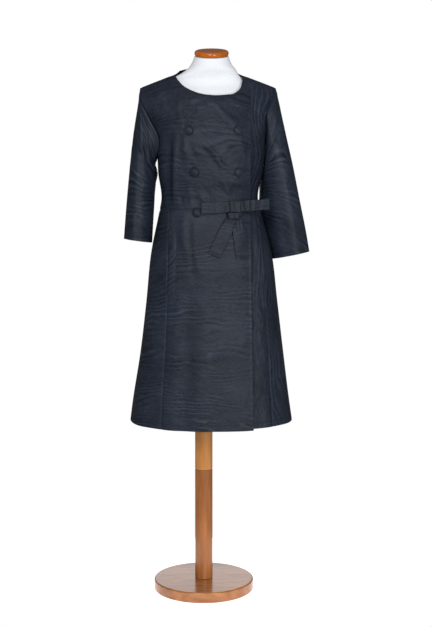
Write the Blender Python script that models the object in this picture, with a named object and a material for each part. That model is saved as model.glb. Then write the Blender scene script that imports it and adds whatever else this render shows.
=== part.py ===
"""A collarless double-breasted coat of watered silk on a limbless dress form with a wooden stand.

Metres, +Z up. The pole stands on the Z axis, the base's underside is at z = 0, and the coat's
front looks along -Y, so its wearer's right front is on the -X side.
"""
import math

import bmesh
import bpy
import numpy as np

for old in list(bpy.data.objects):
    bpy.data.objects.remove(old, do_unlink=True)

# Cloth and seams
CLOTH = 0.0020          # wall of the interfaced silk
RIBBON = 0.0014         # wall of the bow's doubled ribbon
SEAM = 0.0003           # gap between two sewn pieces
LAP_AIR = 0.0021        # air between the two lapped fronts

# Heights of the coat
HEM_Z = 0.4745
WAIST_Z = 1.079
BUST_Z = 1.250
SHOULDER_Z = 1.4240     # height of the sleeve head at the shoulder seam

# Shoulder line, from the coat's middle outwards
SHOULDER_X = 0.1915
NECK_X = 0.0955
SHOULDER_FALL = 0.395   # drop of the shoulder seam per metre outwards
RIDGE_ROUND = 0.040     # rounds the shoulder line where it would cross the middle
BACK_NECK_RISE = 0.050  # lifts the back over the nape, nothing at the neck point
TIP_ANGLE = math.radians(68.4)
SPREAD_ANGLE = math.radians(60)
SIDE_ANGLE = math.radians(90)
BELOW_BUST = 0.10       # metres of height for one unit of rise below the bust
SQUARENESS = 2.35       # exponent of the coat's rounded-square sections
FRONT, BACK = -1, 1

# Sections of the coat's outer face, hem to shoulder
SECTION_COLUMNS = ("z", "centre_x", "half_width", "front_depth", "back_depth")
SECTIONS = (
    (HEM_Z, 0.0210, 0.2306, 0.1500, 0.1680),
    (0.534, 0.0205, 0.2225, 0.1450, 0.1600),
    (0.677, 0.0230, 0.2025, 0.1350, 0.1480),
    (0.819, 0.0230, 0.1860, 0.1280, 0.1390),
    (0.962, 0.0215, 0.1700, 0.1220, 0.1280),
    (WAIST_Z, 0.0180, 0.1430, 0.1090, 0.1010),
    (1.104, 0.0170, 0.1375, 0.1070, 0.0960),
    (1.185, 0.0190, 0.1480, 0.1175, 0.1020),
    (BUST_Z, 0.0210, 0.1530, 0.1220, 0.1060),
    (1.340, 0.0140, 0.1530, 0.1220, 0.1060),
    (SHOULDER_Z, 0.0120, 0.1530, 0.1220, 0.1060),
)

# Soft folds: angle from the front's middle, spread, greatest depth, and where each starts and ends
FOLD_COLUMNS = ("angle", "spread", "depth", "start_z", "full_z")
FOLDS = (
    (-66, 9, 0.0040, 1.00, 0.50),
    (-50, 9, -0.0028, 1.02, 0.55),
    (-29, 9, -0.0048, 0.99, 0.62),
    (-10, 10, 0.0026, 1.00, 0.62),
    (62, 9, -0.0040, 0.98, 0.52),
    (104, 10, 0.0050, 1.00, 0.50),
    (127, 10, -0.0060, 1.02, 0.50),
    (152, 11, 0.0060, 0.96, 0.52),
    (-104, 10, 0.0045, 1.00, 0.52),
    (-130, 10, -0.0060, 0.98, 0.50),
    (-155, 11, 0.0065, 1.00, 0.52),
)

# Neckline from the shoulder seam to the lapped corner, out from the coat's middle
NECKLINE_COLUMNS = ("x", "z")
RIGHT_NECKLINE = (
    (-0.0836, 1.4430),
    (-0.0665, 1.4225),
    (-0.0290, 1.4025),
    (0.0180, 1.3950),
    (0.0480, 1.3965),
    (0.0800, 1.4010),
    (0.1175, 1.4070),
)
LEFT_NECKLINE = (
    (0.0960, 1.4340),
    (0.0905, 1.4180),
    (0.0740, 1.4035),
    (0.0300, 1.3955),
    (-0.0180, 1.3925),
    (-0.0480, 1.3915),
    (-0.0840, 1.3900),
)
BACK_NECK_Z = 1.4870
LAP_EDGE_WAIST_X = 0.131    # top front's free edge, world x
LAP_EDGE_HEM_X = 0.138
UNDERLAP_X = -0.068         # hidden edge of the front below it
LAP_CLEAR_ANGLE = 3.0       # degrees past the lap's edge where the layer below starts to come out
LAP_RISE_ANGLE = 12.0       # degrees over which it comes out
LAP_TOP_RISE = (0.88, 1.40)     # rise over which it comes out above the lapped corner
# skirt's side-front seams at the waist and at the hem, out from the coat's middle; 1 is the wearer's left
SEAM_FROM_MIDDLE = {-1: (0.113, 0.137), 1: (0.130, 0.172)}

# Armholes on the front and on the back, underarm to shoulder: angle and height
ARMHOLE_COLUMNS = ("angle", "z")
RIGHT_ARMHOLE = (
    (90.0, 1.2250),
    (79.0, 1.2360),
    (71.0, 1.2580),
    (68.0, 1.2830),
    (70.0, 1.3180),
    (69.6, 1.3660),
    (68.8, 1.4000),
    (68.4, None),
)
LEFT_ARMHOLE = (
    (90.0, 1.2180),
    (86.0, 1.2350),
    (81.0, 1.2620),
    (77.0, 1.2900),
    (70.5, 1.3180),
    (66.5, 1.3450),
    (65.5, 1.3920),
    (68.4, None),
)

# Sleeves: the outer and inner end of each slanting section, and its half depth
SLEEVE_COLUMNS = ("outer_x", "outer_y", "outer_z", "inner_x", "inner_y", "inner_z", "half_depth")
RIGHT_SLEEVE = (
    (-0.1860, 0.000, 1.3760, -0.1370, 0.012, 1.2080, 0.0620),
    (-0.1950, 0.000, 1.3210, -0.1335, 0.022, 1.1930, 0.0645),
    (-0.2024, 0.000, 1.2670, -0.1320, 0.026, 1.1800, 0.0640),
    (-0.2080, 0.000, 1.2150, -0.1365, 0.018, 1.1550, 0.0630),
    (-0.2180, 0.002, 1.1100, -0.1412, 0.010, 1.0850, 0.0620),
    (-0.2270, 0.004, 0.9975, -0.1490, 0.008, 0.9860, 0.0620),
)
LEFT_SLEEVE = (
    (0.2125, 0.000, 1.3860, 0.1745, 0.005, 1.1960, 0.0610),
    (0.2235, 0.000, 1.3350, 0.1735, 0.018, 1.1850, 0.0630),
    (0.2350, 0.002, 1.2840, 0.1675, 0.028, 1.1650, 0.0630),
    (0.2540, 0.006, 1.2010, 0.1592, 0.043, 1.1250, 0.0620),
    (0.2725, 0.012, 1.1100, 0.1590, 0.046, 1.0850, 0.0600),
    (0.2898, 0.018, 1.0274, 0.1740, 0.050, 1.0200, 0.0580),
    (0.3018, 0.022, 0.9604, 0.1945, 0.052, 0.9380, 0.0560),
)
ARMHOLE_SEAM = 0.0007
SLEEVE_ROWS = 16

# Buttons: covered, with a rim and a domed middle
BUTTON_COLUMNS = ("name", "x", "z")
BUTTONS = (
    ("button_right_top", -0.0395, 1.2970),
    ("button_left_top", 0.0967, 1.2970),
    ("button_right_middle", -0.0244, 1.1815),
    ("button_left_middle", 0.0980, 1.1815),
    ("button_right_waist", -0.0175, 1.0710),
    ("button_left_waist", 0.0980, 1.0710),
)
BUTTON_RADIUS = 0.0137
BUTTON_PROFILE = (
    (0.78, 0.0),
    (0.97, 0.0008),
    (1.0, 0.0022),
    (0.90, 0.0036),
    (0.80, 0.0033),
    (0.60, 0.0048),
    (0.30, 0.0058),
)
BUTTON_TOP = 0.0061
BUTTON_SEAT = 0.0005
BUTTON_SEGMENTS = 18

# Pocket set in the side-front seam, under a welt
POCKET_TOP_Z, POCKET_BOTTOM_Z = 1.0250, 0.8430
WELT_WIDTH = 0.0240
WELT_CLOTH = 0.0012

# Flat bow at the waist
BAND_HEIGHT = 0.0290
BAND_LEFT_X, BAND_RIGHT_X = -0.0070, 0.1830
CORE_X = (0.0720, 0.1020)
CORE_Z = (1.0722, 1.1030)
BAND_COLUMNS = ("x", "y", "z")
BAND_LINE = (
    (BAND_LEFT_X, -0.1195, 1.0830),
    (0.0400, -0.1185, 1.0852),
    (0.0870, -0.1150, 1.0880),
    (0.1350, -0.1060, 1.0912),
    (BAND_RIGHT_X, -0.0900, 1.0945),
)
LOOP_HALF_GAP = 0.0034
KNOT_Z = (1.0535, 1.0719)
KNOT_X = (0.0660, 0.0980)
TAIL_COLUMNS = ("name", "top_x", "top_z", "end_x", "end_z", "stand_top", "stand_end")
TAILS = (
    ("bow_tail_right", 0.0760, 1.0520, 0.0293, 0.9530, 0.0125, 0.0050),
    ("bow_tail_left", 0.0915, 1.0520, 0.1063, 0.9430, 0.0095, 0.0040),
)
TAIL_WIDTH = 0.0330

# Dress form
FORM_COLUMNS = ("z", "centre_x", "centre_y", "half_width", "front_depth", "back_depth")
FORM = (
    (0.8000, 0.0215, 0.000, 0.1620, 0.1080, 0.1180),
    (0.8600, 0.0215, 0.000, 0.1640, 0.1090, 0.1190),
    (0.9400, 0.0215, 0.000, 0.1560, 0.1060, 0.1120),
    (1.0200, 0.0200, 0.000, 0.1360, 0.0980, 0.0960),
    (1.0900, 0.0175, 0.000, 0.1230, 0.0920, 0.0820),
    (1.1600, 0.0185, 0.000, 0.1310, 0.1000, 0.0860),
    (1.2400, 0.0205, 0.000, 0.1410, 0.1100, 0.0930),
    (1.3100, 0.0190, 0.000, 0.1440, 0.1010, 0.0900),
    (1.3700, 0.0190, 0.000, 0.1500, 0.0830, 0.0800),
    (1.4100, 0.0210, 0.000, 0.1500, 0.0660, 0.0660),
    (1.4260, 0.0211, -0.001, 0.1364, 0.0528, 0.0550),
    (1.4360, 0.0188, -0.003, 0.1186, 0.0471, 0.0520),
    (1.4450, 0.0144, -0.005, 0.1028, 0.0458, 0.0485),
    (1.4530, 0.0115, -0.007, 0.0935, 0.0475, 0.0455),
    (1.4600, 0.0150, -0.009, 0.0835, 0.0500, 0.0450),
    (1.4680, 0.0195, -0.011, 0.0750, 0.0525, 0.0460),
    (1.4760, 0.0218, -0.012, 0.0680, 0.0535, 0.0475),
    (1.4860, 0.0218, -0.014, 0.0595, 0.0530, 0.0490),
    (1.5112, 0.0222, -0.019, 0.0475, 0.0475, 0.0475),
)
NECK_BASE_Z = 1.4600
FORM_ROWS = 26
FORM_SEGMENTS = 32

# Wooden stand
WOOD_SEGMENTS = 36
BASE_RADIUS, BASE_HEIGHT, BASE_ROUND = 0.1410, 0.0290, 0.0040
POLE_RADIUS, POLE_CHAMFER = 0.0248, 0.0022
POLE_JOINT_Z = 0.3405
CAP_RADIUS, CAP_HEIGHT, CAP_ROUND = 0.0485, 0.0155, 0.0072
CAP_TILT = math.radians(16)

SILK = (0.045, 0.056, 0.075, 1.0)
RIBBON_SILK = (0.050, 0.060, 0.080, 1.0)
JERSEY = (0.83, 0.85, 0.88, 1.0)
OCHRE_WOOD = (0.52, 0.27, 0.11, 1.0)
RED_WOOD = (0.33, 0.13, 0.06, 1.0)


def material(name, colour, roughness):
    """A Principled material of one colour."""
    made = bpy.data.materials.new(name)
    made.use_nodes = True
    shader = made.node_tree.nodes["Principled BSDF"]
    shader.inputs["Base Color"].default_value = colour
    shader.inputs["Roughness"].default_value = roughness
    return made


def add_object(name, vertices, faces, colour, roughness=0.45):
    """A smooth-shaded object from arrays of points and faces."""
    mesh = bpy.data.meshes.new(name)
    mesh.from_pydata(np.asarray(vertices).tolist(), [], [list(map(int, face)) for face in faces])
    mesh.materials.append(material(name, colour, roughness))
    mesh.shade_smooth()
    mesh.set_sharp_from_angle(angle=math.radians(40))
    made = bpy.data.objects.new(name, mesh)
    bpy.context.scene.collection.objects.link(made)
    return made


def column(table, columns, name):
    """One named column of a table as an array."""
    return np.array([row[columns.index(name)] for row in table], dtype=float)


def smooth(known, values, at):
    """Cubic Hermite curve through a table, its slopes taken from each row's two neighbours."""
    known, values, at = np.asarray(known), np.asarray(values), np.asarray(at, dtype=float)
    slopes = np.gradient(values, known, axis=0)
    row = np.clip(np.searchsorted(known, at) - 1, 0, len(known) - 2)
    step = known[row + 1] - known[row]
    u = (at - known[row]) / step
    if values.ndim > 1:
        extra = (1,) * (values.ndim - 1)
        u, step = u.reshape(u.shape + extra), step.reshape(step.shape + extra)
    return (values[row] * (2 * u**3 - 3 * u**2 + 1) + slopes[row] * step * (u**3 - 2 * u**2 + u)
            + values[row + 1] * (3 * u**2 - 2 * u**3) + slopes[row + 1] * step * (u**3 - u**2))


def unit(vectors):
    """The same directions at unit length."""
    return vectors / np.linalg.norm(vectors, axis=-1, keepdims=True)


def ease(u):
    """Smooth step from 0 to 1."""
    u = np.clip(u, 0, 1)
    return u * u * (3 - 2 * u)


def section(name, z):
    """A section size at any height of the coat."""
    known = column(SECTIONS, SECTION_COLUMNS, "z")
    return smooth(known, column(SECTIONS, SECTION_COLUMNS, name), z)


def rounded_section(theta, half_width, depth, squareness=SQUARENESS):
    """Radius of a rounded square at an angle from the middle of its front or back."""
    across = (np.abs(np.sin(theta)) / half_width) ** squareness
    along = (np.abs(np.cos(theta)) / depth) ** squareness
    return (across + along) ** (-1 / squareness)


def folds(angle, z):
    """Sum of the soft folds: each a bell across its angle that deepens from its start downwards."""
    total = np.zeros(np.broadcast(angle, z).shape)
    for fold in FOLDS:
        row = dict(zip(FOLD_COLUMNS, fold))
        across = (np.degrees(angle) - row["angle"]) / row["spread"]
        down = (row["start_z"] - z) / (row["start_z"] - row["full_z"])
        total = total + row["depth"] * np.exp(-across**2) * ease(down)
    return total


def arch_top(x, side):
    """Height of the shoulder line at a distance from the middle."""
    line = np.hypot(SHOULDER_X, RIDGE_ROUND) - np.hypot(x, RIDGE_ROUND)
    inside = np.clip(1 - (x / NECK_X) ** 2, 0, None)
    rise = BACK_NECK_RISE * inside**2 if side == BACK else 0
    return SHOULDER_Z + SHOULDER_FALL * line + rise


def across_body(theta, rise, side):
    """Distance from the middle, depth and ring height of a point of the body's surface."""
    ring_z = BUST_Z + np.minimum(rise, 0) * BELOW_BUST
    depth = section("front_depth" if side == FRONT else "back_depth", ring_z)
    full_angle = theta if side == FRONT else np.sign(theta) * (math.pi - np.abs(theta))
    radius = rounded_section(theta, section("half_width", ring_z), depth) + folds(full_angle, ring_z)
    ring_x, ring_y = radius * np.sin(theta), radius * np.cos(theta)
    spread = ease(np.maximum(rise, 0) / SPREAD_ANGLE)
    return ring_x + (SHOULDER_X * theta / TIP_ANGLE - ring_x) * spread, ring_y, ring_z


def body(theta, rise, side):
    """Outer face of the coat's body.

    theta runs from the middle of the front or back to the side seam. Below the bust, rise is height
    in units of BELOW_BUST. Above it, rise is the angle of an elliptic arch that leaves the bust
    section upright and ends level on the shoulder seam.
    """
    x, y, ring_z = across_body(theta, rise, side)
    up = np.maximum(rise, 0)
    z = ring_z + (arch_top(x, side) - BUST_Z) * np.sin(up)
    return np.stack([x + section("centre_x", z), side * y * np.cos(up), z], axis=-1)


def body_normals(theta, rise, side, step=1e-4):
    """Outward unit normals of the body's surface."""
    along = body(theta + step, rise, side) - body(theta - step, rise, side)
    up = body(theta, rise + step, side) - body(theta, rise - step, side)
    return unit(-side * np.cross(along, up))


def rise_at(x, z, side):
    """Rise of a point given by its distance from the middle and its height."""
    above = np.clip((z - BUST_Z) / (arch_top(x, side) - BUST_Z), 0, 1)
    return np.where(z < BUST_Z, (z - BUST_Z) / BELOW_BUST, np.arcsin(above))


def angle_at(x, rise, side):
    """Angle of a point given by its distance from the middle and its rise, by halving."""
    shape = np.broadcast(x, rise).shape
    low, high = np.full(shape, -1.75), np.full(shape, 1.75)
    for _ in range(40):
        middle = (low + high) / 2
        beyond = across_body(middle, rise, side)[0] > x
        high = np.where(beyond, middle, high)
        low = np.where(beyond, low, middle)
    return (low + high) / 2


def place(x, z, side=FRONT):
    """Angle and rise of points given by world x and height."""
    from_middle = x - section("centre_x", z)
    rise = rise_at(from_middle, z, side)
    return angle_at(from_middle, rise, side), rise


def on_front(x, z, out=0.0):
    """World point on the coat's front at x and z, moved out along the surface's normal."""
    theta, rise = place(np.asarray(x, dtype=float), np.asarray(z, dtype=float))
    normal = body_normals(theta, rise, FRONT)
    return body(theta, rise, FRONT) + normal * np.asarray(out)[..., None], normal


def wall(name, outer, normals, colour, thickness=CLOTH, tube=False):
    """Closed wall: a grid of outer points, the same grid moved in, and strips along its open edges.

    Both sides of a cell are split along the same diagonal, so a twisted cell keeps its thickness.
    """
    rows, columns = outer.shape[:2]
    inner = outer - normals * thickness
    count = rows * columns
    index = np.arange(count).reshape(rows, columns)
    if tube:
        index = np.hstack([index, index[:, :1]])
    a, b, c, d = index[:-1, :-1], index[:-1, 1:], index[1:, 1:], index[1:, :-1]
    quads = np.stack([a, b, c, d], axis=-1).reshape(-1, 4)
    strips = [(index[0, 1:], index[0, :-1]), (index[-1, :-1], index[-1, 1:])]
    if not tube:
        strips += [(index[:-1, 0], index[1:, 0]), (index[1:, -1], index[:-1, -1])]
    rims = [np.stack([start, end, end + count, start + count], axis=-1) for start, end in strips]
    corners = outer.reshape(-1, 3)[quads]
    longer = (np.linalg.norm(corners[:, 0] - corners[:, 2], axis=1)
              > np.linalg.norm(corners[:, 1] - corners[:, 3], axis=1))
    quads = np.where(longer[:, None], np.roll(quads, -1, axis=1), quads)
    halves = [np.vstack([cells[:, :3], cells[:, [0, 2, 3]]]) for cells in (quads, np.vstack(rims))]
    faces = np.vstack([halves[0], halves[0][:, ::-1] + count, halves[1]])
    middle = outer[rows // 2, columns // 2]
    across = outer[rows // 2, columns // 2 - 1] - middle
    up = outer[rows // 2 - 1, columns // 2] - middle
    if np.dot(np.cross(across, up), normals[rows // 2, columns // 2]) < 0:
        faces = faces[:, ::-1]
    points = np.concatenate([outer.reshape(-1, 3), inner.reshape(-1, 3)])
    return add_object(name, points, faces, colour)


SIDE_ROWS, ARM_ROWS = 6, 9
SHOULDER_COLUMNS, NECK_COLUMNS = 5, 13
RELAX_PASSES = 40
WAIST_RISE = (WAIST_Z + SEAM / 2 - BUST_Z) / BELOW_BUST
TOP_RISE = math.radians(90) - 0.0022


def grid_normals(points):
    """Unit normals of a grid of points, from the differences along its rows and columns."""
    return unit(np.cross(np.gradient(points, axis=1), np.gradient(points, axis=0)))


def relaxed(points, passes=RELAX_PASSES):
    """The grid's inner points evened out (Winslow's method) inside its fixed edges, so no cell folds."""
    for _ in range(passes):
        along = (points[1:-1, 2:] - points[1:-1, :-2]) / 2
        up = (points[2:, 1:-1] - points[:-2, 1:-1]) / 2
        along_weight = (up**2).sum(axis=-1, keepdims=True)
        up_weight = (along**2).sum(axis=-1, keepdims=True)
        skew = (along * up).sum(axis=-1, keepdims=True)
        twist = points[2:, 2:] - points[2:, :-2] - points[:-2, 2:] + points[:-2, :-2]
        moved = (along_weight * (points[1:-1, 2:] + points[1:-1, :-2])
                 + up_weight * (points[2:, 1:-1] + points[:-2, 1:-1]) - skew * twist / 2)
        points[1:-1, 1:-1] = moved / (2 * (along_weight + up_weight))
    return points


def patch(left, right, bottom, top):
    """Surface parameters inside four edges: the edges blended, less their corners, and evened out."""
    t = np.linspace(0, 1, len(left))[:, None, None]
    s = np.linspace(0, 1, len(bottom))[None, :, None]
    sides = (1 - s) * left[:, None] + s * right[:, None]
    ends = (1 - t) * bottom[None] + t * top[None]
    corners = ((1 - s) * (1 - t) * left[0] + s * (1 - t) * right[0]
               + (1 - s) * t * left[-1] + s * t * right[-1])
    return relaxed(sides + ends - corners)


def spaced(points, count):
    """A polyline of surface parameters resampled at even steps, its ends kept."""
    points = np.asarray(points)
    lengths = np.linalg.norm(np.diff(points, axis=0), axis=1)
    along = np.concatenate([[0], np.cumsum(lengths)])
    at = np.linspace(0, along[-1], count)
    return smooth(along, points, at)


def side_and_armhole(sign):
    """Side seam from the waist to the underarm, then the armhole up to the shoulder tip."""
    table = RIGHT_ARMHOLE if sign < 0 else LEFT_ARMHOLE
    angles = np.radians(column(table, ARMHOLE_COLUMNS, "angle"))
    angles[0] = SIDE_ANGLE - SEAM / 2 / 0.145
    heights = column(table[:-1], ARMHOLE_COLUMNS, "z")
    above = np.arcsin(np.clip((heights - BUST_Z) / (SHOULDER_Z + 0.006 - BUST_Z), 0, 1))
    rises = np.append(np.where(heights < BUST_Z, (heights - BUST_Z) / BELOW_BUST, above), TOP_RISE)
    armhole = spaced(np.stack([angles, rises], axis=1), ARM_ROWS)
    seam = np.linspace([angles[0], WAIST_RISE], armhole[0], SIDE_ROWS)[:-1]
    return np.vstack([seam, armhole]) * [sign, 1]


def shoulder(sign, count):
    """Shoulder seam from its tip to the neck point."""
    neck_angle = TIP_ANGLE * NECK_X / SHOULDER_X
    angles = np.linspace(TIP_ANGLE, neck_angle, count)
    return np.stack([sign * angles, np.full(count, TOP_RISE)], axis=1)


def neckline(sign, table, count):
    """Neckline from the neck point to the lapped corner, placed by distance and height."""
    x, z = column(table, NECKLINE_COLUMNS, "x"), column(table, NECKLINE_COLUMNS, "z")
    rise = rise_at(x, z, FRONT)
    points = np.stack([angle_at(x, rise, FRONT), rise], axis=1)
    return spaced(np.vstack([shoulder(sign, 2)[-1:], points]), count)


def bodice_front(name, sign, table, edge_x, sink, colour):
    """One bodice front: side seam and armhole, shoulder seam and neckline, and free front edge."""
    outer_edge = side_and_armhole(sign)
    top = np.vstack([shoulder(sign, SHOULDER_COLUMNS), neckline(sign, table, NECK_COLUMNS)[1:]])
    corner = body(top[-1, 0], top[-1, 1], FRONT)
    heights = np.linspace(WAIST_Z + SEAM / 2, corner[2], len(outer_edge))
    edge_line = np.linspace(edge_x, corner[0], len(outer_edge))
    free_edge = np.stack(place(edge_line, heights), axis=1)
    free_edge[-1] = top[-1]
    bottom = np.linspace(outer_edge[0], free_edge[0], len(top))
    domain = patch(outer_edge, free_edge, bottom, top)
    theta, rise = domain[..., 0], domain[..., 1]
    normals = body_normals(theta, rise, FRONT)
    outer = body(theta, rise, FRONT) - normals * sink(theta, rise)[..., None]
    return wall(name, outer, normals, colour)


def bodice_back():
    """The bodice back in one piece, with both armholes and the back neckline."""
    left = side_and_armhole(-1)
    right = side_and_armhole(1)
    half = np.linspace(-NECK_X, NECK_X, 11)[1:-1]
    neck_z = BACK_NECK_Z - (BACK_NECK_Z - arch_top(NECK_X, BACK)) * (np.abs(half) / NECK_X) ** 2
    rise = rise_at(half, neck_z, BACK)
    neck = np.stack([angle_at(half, rise, BACK), rise], axis=1)
    top = np.vstack([shoulder(-1, SHOULDER_COLUMNS), neck, shoulder(1, SHOULDER_COLUMNS)[::-1]])
    bottom = np.linspace(left[0], right[0], len(top))
    domain = patch(left, right, bottom, top)
    theta, rise = domain[..., 0], domain[..., 1]
    return wall("bodice_back", body(theta, rise, BACK), body_normals(theta, rise, BACK), SILK)


def sunk(theta, lap_angle):
    """How far a lower layer sinks: fully under the lap, nothing a short way beyond its edge."""
    past_edge = np.degrees(theta - lap_angle) - LAP_CLEAR_ANGLE
    return (CLOTH + LAP_AIR) * ease(1 - past_edge / LAP_RISE_ANGLE)


def under_lap(theta, rise):
    """Sinking of the left bodice front, which comes back to the outline above the lapped corner."""
    lap_angle = angle_at(LAP_EDGE_WAIST_X - section("centre_x", BUST_Z), rise, FRONT)
    return sunk(theta, lap_angle) * ease((LAP_TOP_RISE[1] - rise) / (LAP_TOP_RISE[1] - LAP_TOP_RISE[0]))


def on_top(theta, rise):
    """The top front lies on the coat's outline."""
    return np.zeros(theta.shape)


SKIRT_ROWS = 15


def skirt_heights():
    """Heights of the skirt's rows, hem to waist seam."""
    return np.linspace(HEM_Z, WAIST_Z - SEAM / 2, SKIRT_ROWS)


def seam_x(z, sign):
    """Place of a side-front seam, out from the coat's middle."""
    waist, hem = SEAM_FROM_MIDDLE[sign]
    return sign * (waist + (hem - waist) * (WAIST_Z - z) / (WAIST_Z - HEM_Z))


def seam_angle(z, sign, shift=0.0):
    """Angle of a side-front seam at each height, moved a little outwards."""
    rise = (z - BUST_Z) / BELOW_BUST
    return angle_at(seam_x(z, sign) + sign * shift, rise, FRONT)


def lap_edge_x(z):
    """World x of the top front's free edge."""
    down = (WAIST_Z - z) / (WAIST_Z - HEM_Z)
    return LAP_EDGE_WAIST_X + (LAP_EDGE_HEM_X - LAP_EDGE_WAIST_X) * down


def skirt_panel(name, start, end, columns, side, sink, colour):
    """A skirt panel between two edges given as angles, row by row from the hem to the waist."""
    z = skirt_heights()
    s = np.linspace(0, 1, columns)[None, :]
    theta = start[:, None] * (1 - s) + end[:, None] * s
    rise = np.repeat(((z - BUST_Z) / BELOW_BUST)[:, None], columns, axis=1)
    normals = body_normals(theta, rise, side)
    outer = body(theta, rise, side) - normals * sink(theta, rise)[..., None]
    return wall(name, outer, normals, colour)


def skirt():
    """Skirt: two lapped fronts, two side-fronts and a back, all cut flared."""
    z = skirt_heights()
    half_gap = SEAM / 2
    side = SIDE_ANGLE - half_gap / section("half_width", z)
    middle = section("centre_x", z)
    rise = (z - BUST_Z) / BELOW_BUST
    lap = angle_at(lap_edge_x(z) - middle, rise, FRONT)
    under = angle_at(UNDERLAP_X - middle, rise, FRONT)
    skirt_panel("skirt_front_right", seam_angle(z, -1, -half_gap), lap, 15, FRONT, on_top, SILK)
    skirt_panel("skirt_side_right", -side, seam_angle(z, -1, half_gap), 6, FRONT, on_top, SILK)
    skirt_panel("skirt_front_left", under, seam_angle(z, 1, -half_gap), 13, FRONT, under_skirt, SILK)
    skirt_panel("skirt_side_left", seam_angle(z, 1, half_gap), side, 6, FRONT, under_skirt, SILK)
    skirt_panel("skirt_back", -side, side, 23, BACK, on_top, SILK)


def under_skirt(theta, rise):
    """Sinking of the skirt's left front and side-front."""
    z = BUST_Z + rise * BELOW_BUST
    return sunk(theta, angle_at(lap_edge_x(z) - section("centre_x", z), rise, FRONT))


def armhole_ring(sign):
    """Armhole edge as one closed ring, shoulder tip down the front and up the back, with normals."""
    edge = side_and_armhole(sign)[-ARM_ROWS:]
    points = [body(edge[:, 0], edge[:, 1], side) for side in (FRONT, BACK)]
    normals = [body_normals(edge[:, 0], edge[:, 1], side) for side in (FRONT, BACK)]
    return np.vstack([points[0][::-1], points[1]]), np.vstack([normals[0][::-1], normals[1]])


def sleeve(name, sign, table):
    """A sleeve lofted from the armhole's ring through its table of slanting oval sections."""
    ring, edge_normals = armhole_ring(sign)
    turn = np.linspace(0, math.pi, ARM_ROWS)
    phi = np.concatenate([turn, turn + math.pi])
    phi[ARM_ROWS - 1] -= 0.02
    phi[ARM_ROWS] += 0.02
    phi[0] += 0.02
    phi[-1] -= 0.02
    rings = [ring]
    for values in table:
        row = dict(zip(SLEEVE_COLUMNS, values))
        outer, inner = (np.array([row[end + axis] for axis in ("_x", "_y", "_z")])
                        for end in ("outer", "inner"))
        middle, half = (outer + inner) / 2, (outer - inner) / 2
        oval = middle + np.cos(phi)[:, None] * half
        oval[:, 1] -= row["half_depth"] * np.sin(phi)
        rings.append(oval)
    rings = np.array(rings)
    steps = np.linalg.norm(np.diff(rings, axis=0), axis=2).mean(axis=1)
    along = np.concatenate([[0], np.cumsum(steps)])
    first = smooth(along, rings, np.array([0.0, 0.002]))
    seam = unit(np.roll(ring, -1, axis=0) - np.roll(ring, 1, axis=0))
    leaving = first[1] - first[0]
    leaving = unit(leaving - (leaving * seam).sum(axis=1, keepdims=True) * seam)
    turned_in = np.clip(-(leaving * edge_normals).sum(axis=1), 0, None)
    rings[0] = ring + leaving * (ARMHOLE_SEAM + CLOTH * turned_in)[:, None]
    # the ring's front half stays in front of its back half where they meet at the tip
    rings[0, :ARM_ROWS, 1] = np.minimum(rings[0, :ARM_ROWS, 1], -2 * SEAM)
    rings[0, ARM_ROWS:, 1] = np.maximum(rings[0, ARM_ROWS:, 1], 2 * SEAM)
    at = along[-1] * np.linspace(0, 1, SLEEVE_ROWS) ** 1.15
    points = smooth(along, rings, at)
    forward = smooth(along, rings, at + 1e-4) - smooth(along, rings, at - 1e-4)
    around = np.roll(points, -1, axis=1) - np.roll(points, 1, axis=1)
    normals = unit(np.cross(forward, around))
    centre = points.mean(axis=1, keepdims=True)
    if ((points - centre) * normals).sum() < 0:
        normals = -normals
    return wall(name, points, normals, SILK, tube=True)


def turned(name, profile, segments, colour, roughness, frame=None):
    """A turned solid from radius and height pairs, closed by flat discs at its two ends."""
    angles = np.linspace(0, 2 * math.pi, segments, endpoint=False)
    rings = [np.stack([r * np.cos(angles), r * np.sin(angles), np.full(segments, h)], axis=1)
             for r, h in profile]
    points = np.vstack(rings)
    if frame is not None:
        origin, axes = frame
        points = origin + points @ axes
    faces = []
    for ring in range(len(profile) - 1):
        for i in range(segments):
            j = (i + 1) % segments
            low, high = ring * segments, (ring + 1) * segments
            faces.append((low + i, low + j, high + j, high + i))
    faces.append(tuple(range(segments))[::-1])
    faces.append(tuple((len(profile) - 1) * segments + i for i in range(segments)))
    return add_object(name, points, faces, colour, roughness)


def buttons():
    """Six covered buttons, each lying square on the front with its flat back just clear of it."""
    profile = [(BUTTON_RADIUS * share, height) for share, height in BUTTON_PROFILE]
    profile.append((BUTTON_RADIUS * 0.08, BUTTON_TOP))
    for values in BUTTONS:
        row = dict(zip(BUTTON_COLUMNS, values))
        point, normal = on_front(row["x"], row["z"], BUTTON_SEAT)
        sideways = np.cross([0, 0, 1.0], normal)
        sideways /= np.linalg.norm(sideways)
        axes = np.array([sideways, np.cross(normal, sideways), normal])
        turned(row["name"], profile, BUTTON_SEGMENTS, SILK, 0.5, frame=(point, axes))


def pocket_welt(name, sign, sink):
    """A welt lying on the skirt front along the pocket opening in the side-front seam."""
    z = np.linspace(POCKET_BOTTOM_Z, POCKET_TOP_Z, 9)[:, None]
    across = np.linspace(0, 1, 4)[None, :]
    from_middle = seam_x(z, sign) - sign * (0.001 + WELT_WIDTH * across)
    rise = np.repeat((z - BUST_Z) / BELOW_BUST, 4, axis=1)
    theta = angle_at(from_middle, rise, FRONT)
    normals = body_normals(theta, rise, FRONT)
    out = WELT_CLOTH + SEAM + 0.0001 - sink(theta, rise)
    return wall(name, body(theta, rise, FRONT) + normals * out[..., None], normals, SILK, WELT_CLOTH)


def band_point(x):
    """Depth and height of the bow's band at x."""
    known = column(BAND_LINE, BAND_COLUMNS, "x")
    depth = smooth(known, column(BAND_LINE, BAND_COLUMNS, "y"), x)
    return depth, smooth(known, column(BAND_LINE, BAND_COLUMNS, "z"), x)


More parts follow.
